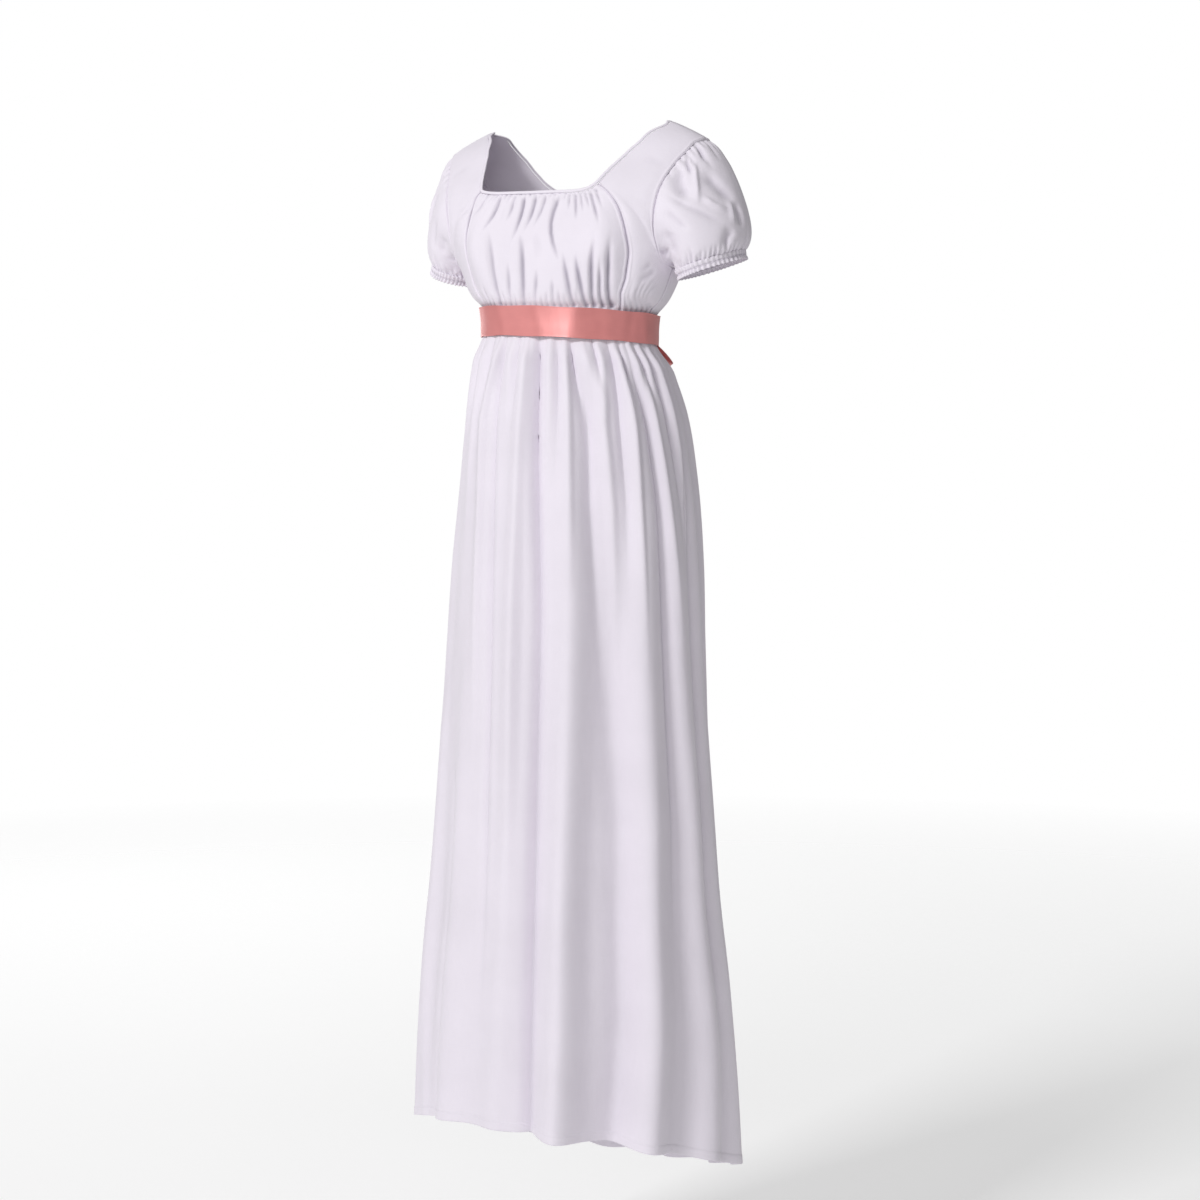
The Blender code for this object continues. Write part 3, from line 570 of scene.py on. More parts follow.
def white_cloth(name, colour):
    """Fine white cotton with a soft sheen: plain weave, faint slubs, soft crumple and painted shade in its
    creases.
    """
    shader = Shader(name)
    uv, where = shader.spots["UV"], shader.spots["Object"]
    cloudy = shader.noise(where, 9.0, 3.0, 0.55)
    slub = shader.noise(shader.stretched(uv, 900.0, 45.0, 1.0), 1.0)
    slub_across = shader.noise(shader.stretched(uv, 40.0, 900.0, 1.0), 1.0)
    threads = shader.mix(0.5, slub, slub_across)
    tone = shader.mix(shader.ramp(cloudy, 0.35, 0.70), tint(colour, 0.955), tint(colour))
    tone = shader.mix(0.05, tone, threads, "MULTIPLY")
    # Painted shade: the colour darkens to violet-grey the deeper the cloth lies in a crease
    crease = shader.add("ShaderNodeAttribute", attribute_name="crease")
    tone = shader.mix(crease.outputs["Fac"], tone, tint(colour, 0.50, 0.49, 0.53))
    crumple = shader.noise(shader.stretched(where, 1.0, 1.0, 0.55), 34.0, 3.0)
    creases = shader.noise(shader.stretched(where, 1.0, 1.0, 0.30), 90.0, 2.0, 0.45)
    normal = shader.bump(crumple, 0.0016, 0.55)
    normal = shader.bump(creases, 0.0005, 0.45, normal)
    normal = shader.bump(plain_weave(shader, uv, 2200.0), 0.00010, 0.35, normal)
    normal = shader.bump(threads, 0.00008, 0.5, normal)
    return shader.finish(
        Base_Color=tone, Roughness=shader.ranged(cloudy, 0.66, 0.80), Normal=normal,
        Sheen_Weight=0.18, Sheen_Roughness=0.45, Specular_IOR_Level=0.30,
    )


def ribbon_satin(name, colour):
    """Satin: long floats running along the ribbon, a bright soft gloss and faint moire in the colour."""
    shader = Shader(name)
    uv, where = shader.spots["UV"], shader.spots["Object"]
    floats = shader.noise(shader.stretched(uv, 60.0, 1800.0, 1.0), 1.0)
    cloudy = shader.noise(where, 26.0)
    tone = shader.mix(shader.ramp(cloudy, 0.3, 0.75), tint(colour, 0.86, 0.80, 0.80), tint(colour))
    tone = shader.mix(0.10, tone, floats, "MULTIPLY")
    wave = shader.noise(shader.stretched(where, 1.0, 1.0, 0.25), 60.0)
    normal = shader.bump(wave, 0.0010, 0.35)
    normal = shader.bump(floats, 0.00005, 0.6, normal)
    normal = shader.bump(shader.bands(uv, 400.0, "Y"), 0.00004, 0.3, normal)
    along = shader.add("ShaderNodeTangent", direction_type="UV_MAP", uv_map="cloth")
    return shader.finish(
        Base_Color=tone, Roughness=shader.ranged(cloudy, 0.40, 0.50), Normal=normal,
        Tangent=along.outputs[0], Anisotropic=0.85, Anisotropic_Rotation=0.25, Metallic=0.30,
        IOR=1.75, Specular_IOR_Level=0.80,
    )


def sewing_thread(name, colour):
    """Twisted cotton thread."""
    shader = Shader(name)
    where = shader.spots["Object"]
    tone = shader.mix(shader.noise(where, 400.0, 1.0), tint(colour, 0.9), tint(colour))
    normal = shader.bump(shader.noise(where, 1500.0, 1.0), 0.0001, 0.5)
    return shader.finish(Base_Color=tone, Normal=normal, Roughness=0.6)


# --- Sizes and colours ------------------------------------------------------------------------------


def length_property(name, description, default):
    return bpy.props.FloatProperty(name=name, description=description, default=default, unit="LENGTH")


def share_property(name, description):
    return bpy.props.FloatProperty(name=name, description=description, default=1.0, min=0.0, max=1.5)


def colour_property(name, description, default):
    return bpy.props.FloatVectorProperty(
        name=name, description=description, default=default, subtype="COLOR", size=3
    )


class GownSizes(bpy.types.PropertyGroup):
    """Sizes that a maker may change"""

    cloth: length_property("Cloth", "Thickness of the gown's cloth", 0.0009)
    ribbon: length_property("Ribbon", "Thickness of the ribbon", 0.0007)
    binding: length_property("Binding", "Width of the rolled neck edge", 0.0040)
    gathers: share_property("Gathers", "Depth of the gathers, as a share of the usual one")
    folds: share_property("Folds", "Depth of the skirt's smaller folds, as a share of the usual one")
    stitch: length_property("Stitch", "Distance from one stitch to the next", 0.0030)


class GownColours(bpy.types.PropertyGroup):
    """Colours of the gown"""

    cloth: colour_property("Cloth", "Colour of the gown's cloth", (0.84, 0.79, 0.87))
    binding: colour_property("Binding", "Colour of the neck binding", (0.86, 0.81, 0.89))
    ribbon: colour_property("Ribbon", "Colour of the satin ribbon", (0.89, 0.31, 0.30))
    thread: colour_property("Thread", "Colour of the sewing thread", (0.80, 0.76, 0.83))


# The maker of each kind of material, and the material's name
MATERIALS = {
    "cloth": (white_cloth, "white cloth"),
    "binding": (white_cloth, "bound edge"),
    "ribbon": (ribbon_satin, "salmon satin"),
    "thread": (sewing_thread, "cotton thread"),
}
# What is worked out or made once: edges, sleeves and materials
SHARED = {}


def edges_of(suffix):
    """Edges of half the bodice, worked out once."""
    key = "edges_" + suffix
    if key not in SHARED:
        SHARED[key] = seams(suffix, 8)
    return SHARED[key]


def material_of(kind):
    """The gown's materials, made once: cloth, binding, ribbon or thread."""
    if kind not in SHARED:
        make, name = MATERIALS[kind]
        SHARED[kind] = make(name, getattr(bpy.context.scene.gown_colours, kind)[:])
    return SHARED[kind]


# --- Bodice -----------------------------------------------------------------------------------------

# Gathers of the front drawn up at the waist: x at the seam, height, lean to the wearer's left, depth and
# half width
WAIST_GATHERS_FRONT = (
    (-0.088, 0.022, -0.003, 0.0020, 0.0024), (-0.079, 0.034, -0.002, 0.0026, 0.0030),
    (-0.069, 0.018, 0.000, 0.0020, 0.0022), (-0.056, 0.112, -0.018, 0.0046, 0.0048),
    (-0.046, 0.026, -0.004, 0.0022, 0.0024), (-0.036, 0.066, -0.005, 0.0026, 0.0034),
    (-0.027, 0.020, -0.003, 0.0020, 0.0022), (-0.014, 0.108, -0.014, 0.0046, 0.0048),
    (-0.003, 0.024, -0.002, 0.0020, 0.0024), (0.006, 0.056, -0.004, 0.0026, 0.0032),
    (0.016, 0.018, -0.001, 0.0020, 0.0022), (0.024, 0.026, -0.002, 0.0020, 0.0024),
    (0.033, 0.042, -0.006, 0.0026, 0.0030), (0.042, 0.028, -0.004, 0.0022, 0.0024),
    (0.050, 0.022, -0.004, 0.0020, 0.0022), (0.058, 0.082, -0.020, 0.0046, 0.0040),
    (0.065, 0.030, -0.003, 0.0024, 0.0024), (0.072, 0.080, -0.012, 0.0060, 0.0040),
    (0.080, 0.102, 0.010, 0.0064, 0.0042), (0.0885, 0.068, 0.008, 0.0056, 0.0036),
    (0.0970, 0.102, 0.014, 0.0066, 0.0044),
)
# Gathers under the rolled neck edge: x at the edge, drop, lean to the wearer's left, bow, depth, half width
NECK_GATHERS_FRONT = (
    (-0.088, 0.014, -0.012, 0.001, 0.0010, 0.0018), (-0.079, 0.034, -0.028, 0.003, 0.0020, 0.0024),
    (-0.070, 0.014, -0.010, 0.001, 0.0012, 0.0018), (-0.064, 0.016, -0.010, 0.001, 0.0011, 0.0018),
    (-0.058, 0.054, -0.029, 0.002, 0.0036, 0.0030), (-0.050, 0.013, -0.005, 0.000, 0.0010, 0.0018),
    (-0.043, 0.018, -0.006, 0.000, 0.0013, 0.0018), (-0.035, 0.038, -0.014, 0.001, 0.0024, 0.0024),
    (-0.028, 0.013, -0.004, 0.000, 0.0010, 0.0018), (-0.020, 0.066, -0.020, 0.001, 0.0042, 0.0030),
    (-0.012, 0.016, -0.006, 0.000, 0.0014, 0.0018), (-0.003, 0.056, -0.021, 0.002, 0.0036, 0.0029),
    (0.004, 0.015, -0.006, 0.000, 0.0012, 0.0018), (0.012, 0.050, -0.023, 0.002, 0.0028, 0.0026),
    (0.020, 0.013, -0.004, 0.000, 0.0012, 0.0018), (0.026, 0.018, -0.004, 0.000, 0.0013, 0.0018),
    (0.034, 0.104, 0.015, -0.020, 0.0040, 0.0036), (0.041, 0.015, -0.003, 0.000, 0.0013, 0.0018),
    (0.047, 0.026, -0.002, 0.000, 0.0019, 0.0022), (0.055, 0.040, 0.003, 0.000, 0.0028, 0.0026),
    (0.062, 0.030, 0.006, 0.000, 0.0021, 0.0022), (0.0685, 0.026, 0.011, 0.000, 0.0022, 0.0022),
    (0.0750, 0.050, 0.021, 0.000, 0.0034, 0.0028), (0.0815, 0.030, 0.015, 0.000, 0.0021, 0.0022),
)
# How far the princess seams sink under the fullness of the front
PRINCESS_DIP = {"left": 0.0072, "right": 0.0034}
# Welt and turned edge of the side fronts along them
PRINCESS_WELT = {"left": (0.0015, 0.0004), "right": (0.0010, 0.0011)}
# How gathers at the waist seam of the sides and backs begin and end
DRAWN_IN = {"start": 0.02, "end": 0.7, "sharp": 1.7}
# Gathers of the side fronts at the waist: x at the seam, height, lean outwards, depth, half width
WAIST_GATHERS_SIDE = (
    (0.107, 0.044, 0.016, 0.0016, 0.0026), (0.1105, 0.050, 0.020, 0.0020, 0.0028),
    (0.1135, 0.052, 0.027, 0.0022, 0.0028), (0.1158, 0.052, 0.029, 0.0022, 0.0028),
    (0.1172, 0.048, 0.030, 0.0020, 0.0028), (0.1180, 0.044, 0.030, 0.0018, 0.0026),
)


def front_lines(gathers, top, options):
    """Creases on the front for a table of gathers, each starting at the height top(x)."""
    lines = []
    for row in gathers:
        x, reach, lean = row[:3]
        bow = row[3] if len(row) == 6 else 0.0
        direction = -1 if len(row) == 6 else 1
        t = np.linspace(0, 1, 9)
        across = x + lean * t**1.2 + bow * np.sin(math.pi * t)
        up = top(x) + direction * reach * t
        lines.append((on_front(across, up), row[-2], row[-1], options))
    return lines


def grid_of(inner, outer, columns):
    """Grid in (angle, z) between two edges with the same number of rows."""
    share = np.linspace(0, 1, columns)[None, :, None]
    return inner[:, None] * (1 - share) + outer[:, None] * share


def side_spans(points):
    """Distance of each point of a grid from its two side edges and from its top and bottom."""
    across = np.linalg.norm(np.diff(points, axis=1), axis=-1)
    run = np.concatenate([np.zeros((len(points), 1)), np.cumsum(across, axis=1)], axis=1)
    down = np.linalg.norm(np.diff(points, axis=0), axis=-1)
    drop = np.concatenate([np.zeros((1, points.shape[1])), np.cumsum(down, axis=0)], axis=0)
    return run, run[:, -1:] - run, drop, drop[-1:] - drop


def welt(away, rise=0.0006, back=0.0013):
    """A seam's edge: a soft welt 3 mm from it and the cloth turning in at it."""
    return rise * bell(away - 0.0032, 0.0016) - back * bell(away, 0.0012)


def turned_edge(away):
    """Cloth turning in under the rolled neck edge."""
    return -0.0010 * np.exp(-away / 0.0015)


def seam_dip(suffix, rows):
    """How far each row of a princess seam sinks between the full front and the side."""
    share = np.linspace(0, 1, rows)[:, None]
    return PRINCESS_DIP[suffix] * ease(0.02, 0.22, share) * (1 - ease(0.62, 0.97, share))


def hung_relief(points, top, drag, inner_welt, outer_welt, dip=0.0):
    """Relief of a side front or a back: drag lines, seams, and the fullness drawn in at the waist.

    top is the number of rows below the neckline, where the inner edge is a seam. drag is the drag lines'
    depth, number and slant. dip is how far the inner seam sinks."""
    from_inner, from_outer, from_waist, _ = side_spans(points)
    rows, columns = points.shape[:2]
    v, u = np.linspace(0, 1, rows)[:, None], np.linspace(0, 1, columns)[None, :]
    depth, waves, slant = drag
    pull = depth * np.sin(math.pi * v) ** 2 * np.sin(math.pi * u) * np.sin(waves * math.pi * (u + slant * v))
    below = np.arange(rows)[:, None] < top
    seam = np.where(below, welt(from_inner, *inner_welt), turned_edge(from_inner))
    seam = seam + welt(from_outer, *outer_welt) - dip * np.exp(-from_inner / 0.0050)
    return pull + seam + 0.0014 * bell(from_waist - 0.010, 0.009)


def cloth_on_form(name, flat, side, lift, lines):
    """Panel of cloth on the form: lifted by lift(points), creased along the lines."""
    sizes = bpy.context.scene.gown_sizes
    points = form(side * flat[..., 0], flat[..., 1])
    away = outward(points)
    height = lift(points)
    for path, depth, width, options in lines:
        height = height - sizes.gathers * fold_along(points, path, depth, width, **options)
    outer = points + away * (sizes.cloth + CLOTH_GAP + height)[..., None]
    return shell(name, outer, sizes.cloth, away, crease=(0.0045, 0.0024))


class GOWN_OT_bodice_front(bpy.types.Operator):
    """Gathered panel between the princess seams, drawn up at the neck and at the waist"""

    bl_idname = "gown.bodice_front"
    bl_label = "Bodice front"

    def execute(self, context):
        left, right = edges_of("left"), edges_of("right")
        rows = len(left["princess"])
        share = np.linspace(-1, 1, 301)
        dip = neck_edge(left, right, share)[2]
        grown = np.linspace(0, 1, rows)[:, None]
        blend = (share[None, :, None] + 1) / 2
        first = (right["princess"] * (-1, 1))[:, None]
        flat = first * (1 - blend) + left["princess"][:, None] * blend
        flat[..., 1] += dip[None, :] * grown**3
        flat[0, :, 1] = waist_z(flat[0, :, 0])

        def lift(points):
            from_right, from_left, from_waist, from_neck = side_spans(points)
            soft = 0.0016 * np.sin(math.pi * grown) * (1 + np.cos(3.0 * math.pi * share)[None, :]) / 2
            edge = np.minimum(1, np.minimum(from_right, from_left) / 0.02)
            fine = np.sin(share * 86.0 + 2.5 * np.sin(share * 9.0))[None, :]
            fine = fine * (0.00055 * np.exp(-from_waist / 0.012) + 0.00045 * np.exp(-from_neck / 0.009))
            puff = 0.0022 * bell(from_waist - 0.010, 0.010) + 0.0012 * bell(from_neck - 0.008, 0.008)
            sunk = seam_dip("left", rows) * np.clip(1 - from_left / 0.038, 0, 1) ** 2
            sunk = sunk + seam_dip("right", rows) * np.clip(1 - from_right / 0.026, 0, 1) ** 2
            seam = welt(from_right) + welt(from_left, 0.0008, 0.0006) - sunk + turned_edge(from_neck)
            return soft * edge + fine + puff * edge + seam

        def waist(x):
            return -0.2465 - 0.0225 * (x - 0.02)

        def neck(x):
            return NECK_FRONT_Z + NECK_TILT * x / 0.09 + 0.0010 + max(0.0, abs(x) - 0.065) ** 1.5 * 2.6

        drawn_up = {"start": 0.04, "end": 0.5, "lean": 0.25, "sharp": 1.7}
        drawn_down = {"start": 0.16, "end": 0.6, "lean": -0.25, "sharp": 1.7}
        lines = front_lines(WAIST_GATHERS_FRONT, waist, drawn_up)
        lines += front_lines(NECK_GATHERS_FRONT, neck, drawn_down)
        piece = cloth_on_form("bodice_front", flat, 1, lift, lines)
        finish_piece(piece, "white_cloth", material_of("cloth"), "bodice_centre_front")
        return {"FINISHED"}


class GOWN_OT_bodice_sides(bpy.types.Operator):
    """Side fronts with their shoulder straps, from the princess seams to the side seams and armholes"""

    bl_idname = "gown.bodice_sides"
    bl_label = "Bodice side fronts"

    def execute(self, context):
        for suffix, side in SIDES.items():
            edges = edges_of(suffix)
            inner = np.concatenate([edges["princess"], edges["strap_front"][1:]])
            outer = np.concatenate([edges["side"], edges["armhole_front"][1:]])
            flat = grid_of(inner, outer, 72)
            top = len(edges["princess"])
            dip = np.concatenate([seam_dip(suffix, top), np.zeros((len(inner) - top, 1))])

            def lift(points, suffix=suffix, top=top, dip=dip):
                return hung_relief(
                    points, top, (0.0009, 2.2, 0.35), PRINCESS_WELT[suffix], (0.0007, 0.0011), dip
                )

            lines = [(path * (side, 1, 1), *rest)
                     for path, *rest in front_lines(WAIST_GATHERS_SIDE, lambda x: -0.2530, DRAWN_IN)]
            for (ax, az), (bx, bz), depth, width in SIDE_CREASES[suffix]:
                t = np.linspace(0, 1, 9)
                path = on_front(side * (ax + (bx - ax) * t), az + (bz - az) * t - 0.003 * np.sin(math.pi * t))
                lines.append((path, depth, width, {"start": 0.3, "end": 0.5}))
            piece = cloth_on_form("bodice_side_front_" + suffix, flat, side, lift, lines)
            finish_piece(piece, "white_cloth", material_of("cloth"), "bodice_side_" + suffix)
        return {"FINISHED"}


# Drag lines of the side fronts: from x, z to x, z (x outwards), depth, half width
SIDE_CREASES = {
    "left": (
        ((0.147, -0.196), (0.126, -0.215), 0.0016, 0.0050),
        ((0.146, -0.188), (0.132, -0.200), 0.0012, 0.0040),
        ((0.155, -0.120), (0.125, -0.098), 0.0007, 0.0080),
        ((0.168, -0.070), (0.130, -0.050), 0.0006, 0.0090),
    ),
    "right": (
        ((0.099, -0.099), (0.138, -0.128), 0.0016, 0.0030),
        ((0.108, -0.099), (0.140, -0.118), 0.0008, 0.0040),
        ((0.147, -0.192), (0.122, -0.214), 0.0014, 0.0050),
        ((0.168, -0.070), (0.130, -0.045), 0.0006, 0.0090),
    ),
}
# Gathers of the back at the waist: x at the seam, height, lean outwards, depth, half width
WAIST_GATHERS_BACK = (
    (0.007, 0.040, 0.001, 0.0018, 0.0030), (0.016, 0.056, 0.003, 0.0022, 0.0034),
    (0.026, 0.030, 0.003, 0.0014, 0.0026), (0.036, 0.060, 0.008, 0.0022, 0.0034),
    (0.047, 0.034, 0.006, 0.0016, 0.0028), (0.058, 0.052, 0.011, 0.0020, 0.0032),
    (0.069, 0.030, 0.008, 0.0014, 0.0026), (0.080, 0.048, 0.015, 0.0020, 0.0032),
    (0.091, 0.032, 0.012, 0.0016, 0.0028), (0.101, 0.040, 0.018, 0.0018, 0.0030),
)


class GOWN_OT_bodice_backs(bpy.types.Operator):
    """Two back panels that meet in a seam down the centre back"""

    bl_idname = "gown.bodice_backs"
    bl_label = "Bodice backs"

    def execute(self, context):
        for suffix, side in SIDES.items():
            edges = edges_of(suffix)
            inner = np.concatenate([edges["centre_back"], edges["strap_back"][1:]])
            outer = np.concatenate([edges["side"], edges["armhole_back"][1:]])
            flat = grid_of(inner, outer, 84)

            def lift(points, top=len(edges["centre_back"])):
                return hung_relief(points, top, (0.0012, 3.1, 0.5), (0.0006, 0.0011), (0.0006, 0.0011))

            lines = []
            for x, reach, lean, depth, width in WAIST_GATHERS_BACK:
                t = np.linspace(0, 1, 7)
                across, up = x + lean * t, -0.2720 + reach * t
                lines.append((form(side * angle_at(across, up, True), up), depth, width, DRAWN_IN))
            piece = cloth_on_form("bodice_back_panel_" + suffix, flat, side, lift, lines)
            finish_piece(piece, "white_cloth", material_of("cloth"), "bodice_back_" + suffix)
        return {"FINISHED"}


def front_and_back_ring(suffix, count):
    """Armhole seam from the shoulder tip over the front and round the back: points and their degrees."""
    edges = edges_of(suffix)
    halves = []
    for half in (edges["armhole_front"][::-1], edges["armhole_back"]):
        halves.append(spaced(form(SIDES[suffix] * half[:, 0], half[:, 1]), count // 2 + 1)[:-1])
    return np.concatenate(halves), np.arange(count) * 360.0 / count


def bezier(start, pull, push, end, t):
    return (1 - t) ** 3 * start + 3 * (1 - t) ** 2 * t * pull + 3 * (1 - t) * t**2 * push + t**3 * end


# Gathers of the cap: degrees from the shoulder tip (front above 0), reach down the sleeve, depth, half width
CAP_GATHERS = (
    (-68, 0.10, 0.0010, 0.0026), (-56, 0.16, 0.0016, 0.0030), (-46, 0.22, 0.0022, 0.0034),
    (-37, 0.14, 0.0020, 0.0028), (-29, 0.26, 0.0028, 0.0034), (-21, 0.16, 0.0022, 0.0028),
    (-14, 0.30, 0.0030, 0.0034), (-7, 0.16, 0.0022, 0.0026), (0, 0.22, 0.0028, 0.0030),
    (7, 0.30, 0.0032, 0.0034), (13, 0.16, 0.0024, 0.0026), (20, 0.36, 0.0036, 0.0038),
    (27, 0.18, 0.0024, 0.0028), (34, 0.30, 0.0030, 0.0034), (42, 0.16, 0.0020, 0.0028),
    (51, 0.20, 0.0018, 0.0030), (62, 0.12, 0.0012, 0.0028), (75, 0.08, 0.0010, 0.0026),
)
# Larger folds of each sleeve: depth (below 0 is a ridge), half width, then (degrees, level) along the fold
SLEEVE_FOLDS = {
    "left": (
        (0.0068, 0.0090, (46, 0.06), (58, 0.18), (64, 0.34), (62, 0.46)),
        (-0.0040, 0.0038, (31, 0.13), (46, 0.33), (59, 0.50)),
        (0.0036, 0.0026, (35, 0.04), (41, 0.14), (46, 0.27)),
        (0.0036, 0.0026, (19, 0.03), (21, 0.12), (24, 0.25)),
        (0.0056, 0.0092, (34, 0.26), (24, 0.46), (10, 0.60)),
        (-0.0034, 0.0044, (50, 0.44), (38, 0.56), (22, 0.63)),
        (0.0040, 0.0060, (12, 0.57), (8, 0.68), (10, 0.80)),
        (-0.0026, 0.0042, (18, 0.55), (20, 0.66), (22, 0.76)),
        (0.0044, 0.0070, (22, 0.77), (32, 0.84), (36, 0.95)),
        (0.0022, 0.0044, (84, 0.04), (76, 0.34), (50, 0.62), (26, 0.74)),
        (0.0030, 0.0050, (96, 0.20), (92, 0.45), (80, 0.66)),
        (0.0030, 0.0080, (115, 0.30), (122, 0.52), (128, 0.75)),
        (0.0034, 0.0070, (150, 0.10), (146, 0.30), (142, 0.50)),
        (0.0044, 0.0100, (-25, 0.24), (-32, 0.42), (-40, 0.60)),
        (0.0038, 0.0110, (-62, 0.20), (-68, 0.40), (-76, 0.60)),
        (0.0034, 0.0090, (-100, 0.28), (-105, 0.50), (-112, 0.72)),
        (0.0030, 0.0080, (-140, 0.20), (-136, 0.40), (-132, 0.62)),
        (-0.0030, 0.0050, (-50, 0.20), (-52, 0.40), (-60, 0.60)),
    ),
    "right": (
        (0.0034, 0.0080, (24, 0.16), (28, 0.34), (36, 0.52)),
        (0.0030, 0.0080, (52, 0.18), (56, 0.40), (58, 0.64)),
        (0.0026, 0.0060, (84, 0.30), (86, 0.50), (88, 0.74)),
        (0.0028, 0.0080, (115, 0.25), (112, 0.48), (110, 0.70)),
        (0.0028, 0.0070, (150, 0.12), (146, 0.32), (142, 0.55)),
        (0.0042, 0.0090, (-24, 0.20), (-30, 0.38), (-38, 0.58)),
        (0.0036, 0.0100, (-60, 0.18), (-66, 0.40), (-72, 0.62)),
        (0.0034, 0.0080, (-104, 0.28), (-108, 0.50), (-112, 0.70)),
        (-0.0028, 0.0044, (-44, 0.22), (-48, 0.40), (-56, 0.58)),
        (-0.0024, 0.0044, (40, 0.30), (44, 0.46), (50, 0.62)),
    ),
}
CUFF_GATHERS = 46
SLEEVE_COLUMNS = 280
SLEEVE_ROWS = 92


def spread(k, seed):
    """A repeatable number from 0 to 1 for the k-th gather."""
    return (math.sin(k * 12.9898 + seed * 78.233) * 43758.5453) % 1.0


def sleeve_parts(suffix):
    """Grid of the sleeve's base, its outward directions, levels and degrees, and the frame of its cuff."""
    key = "sleeve_" + suffix
    if key in SHARED:
        return SHARED[key]
    side = SIDES[suffix]
    middle, half_x, half_y, full, rise = SLEEVES[suffix]
    start, degrees = front_and_back_ring(suffix, SLEEVE_COLUMNS)
    turn = np.radians(degrees)
    lean, tip = math.radians(rise), math.radians(CUFF_TIP)
    across = np.array([side * math.cos(lean), 0, math.sin(lean)])
    level_down = np.array([side * math.sin(lean), 0, -math.cos(lean)])
    forward = np.array([0, -math.cos(tip), 0]) + level_down * math.sin(tip)
    down = level_down * math.cos(tip) + np.array([0, math.sin(tip), 0])
    reach = half_x * np.cos(turn)[:, None] * across + half_y * np.sin(turn)[:, None] * forward
    radial = unit(reach / np.array([1.0, 1.3, 1.0]))
    end = np.array(middle) * (side, 1, 1) + reach
    fold = np.where(degrees > 180, 360 - degrees, degrees)
    face = np.where(degrees > 180, 1.0, -1.0)
    pulls = [smooth(PUFF, fold, i) * (full if i in (1, 4, 5) else 1.0) for i in range(1, 7)]
    clear = start.mean(axis=0) - start
    clear = unit(clear - outward(start) * (clear * outward(start)).sum(axis=-1)[:, None])
    clear = clear * (SLEEVE_CLEAR * (0.3 + 0.7 * (fold / 180.0) ** 2))[:, None]
    pull = start + clear + np.stack([side * pulls[0], face * pulls[1], pulls[2]], axis=-1)
    push = end + np.stack([side * pulls[3], face * pulls[4], pulls[5]], axis=-1)
    t = np.linspace(0, 1, SLEEVE_ROWS)
    levels = 0.72 * t + 0.28 * (3 * t**2 - 2 * t**3)
    base = np.array([bezier(start, pull, push, end, t) for t in levels])
    down_the = np.gradient(base, axis=0)
    around = np.roll(base, -1, axis=1) - np.roll(base, 1, axis=1)
    away = unit(np.cross(around, down_the)) * side
    low = (fold / 180.0)[None, :, None] ** 1.5 * (1 - ease(0.0, 0.33, levels))[:, None, None]
    away = unit(away * (1 - 0.9 * low) + outward(start)[None] * 0.9 * low)
    close = (1 - ease(0.0, 0.05, levels))[:, None, None]
    away = unit(away * (1 - close) + outward(start)[None] * close)
    close = ease(0.95, 1.0, levels)[:, None, None]
    away = unit(away * (1 - close) + radial[None] * close)
    SHARED[key] = (base, away, levels, degrees, end, down, radial)
    return SHARED[key]


def on_sleeve(base, levels, degree, level):
    """Point of a sleeve's base at a level and so many degrees from the shoulder tip."""
    columns = base.shape[1]
    at = (degree % 360) / 360 * columns
    i, part = int(at) % columns, at - int(at)
    row = np.interp(level, levels, np.arange(len(levels)))
    j = min(int(row), len(levels) - 2)
    first = base[j, i] * (1 - part) + base[j, (i + 1) % columns] * part
    second = base[j + 1, i] * (1 - part) + base[j + 1, (i + 1) % columns] * part
    return first + (second - first) * (row - j)


class GOWN_OT_sleeves(bpy.types.Operator):
    """Puff sleeves gathered over the shoulder and into the cuffs"""

    bl_idname = "gown.sleeves"
    bl_label = "Sleeves"

    def execute(self, context):
        cloth, gathers = context.scene.gown_sizes.cloth, context.scene.gown_sizes.gathers
        drawn_down = {"start": 0.03, "end": 0.8, "sharp": 1.7}
        drawn_up = {"start": 0.03, "end": 0.85, "sharp": 1.8}
        for suffix in SIDES:
            base, away, levels, degrees, *_ = sleeve_parts(suffix)

            def line(*spots):
                return np.array([on_sleeve(base, levels, *spot) for spot in dense(spots, 4)])

            height = 0.0030 * ease(0.0, 0.10, levels)[:, None] * bell(apart_from(degrees, 0), 62.0, 4)
            height = height * (1 - ease(0.25, 0.7, levels))[:, None]
            low = ease(0.60, 0.93, levels) * (1 - 0.5 * ease(0.96, 1.0, levels))
            height = height + 0.0010 * low[:, None]
            for degree, reach, depth, width in CAP_GATHERS:
                path = line((degree, 0.0), (degree * 1.03, reach / 2), (degree * 1.04 + 1.0, reach))
                height = height - gathers * fold_along(base, path, depth, width, **drawn_down)
            for k in range(CUFF_GATHERS):
                degree = (k + 0.5 * spread(k, 1)) * 360.0 / CUFF_GATHERS
                reach = 0.10 + 0.20 * spread(k, 2) ** 2
                stray = degree + 4 * spread(k, 3) - 2
                path = line((degree, 1.0), (degree, 1 - reach / 2), (stray, 1 - reach))
                depth = 0.0020 + 0.0018 * spread(k, 4)
                height = height - gathers * fold_along(base, path, depth, 0.0023, **drawn_up)
            for depth, width, *spots in SLEEVE_FOLDS[suffix]:
                height = height - fold_along(base, line(*spots), depth, width, lean=0.2, start=0.35, end=0.4)
            edge = np.linalg.norm(base - base[:1], axis=-1)
            height = height + welt(edge, 0.0004, 0.0012)
            outer = base + away * (cloth + CLOTH_GAP + height)[..., None]
            piece = shell("puff_sleeve_" + suffix, outer, cloth, away, ring=True, crease=(0.0050, 0.0050))
            finish_piece(piece, "white_cloth", material_of("cloth"), "sleeve_" + suffix)
        return {"FINISHED"}


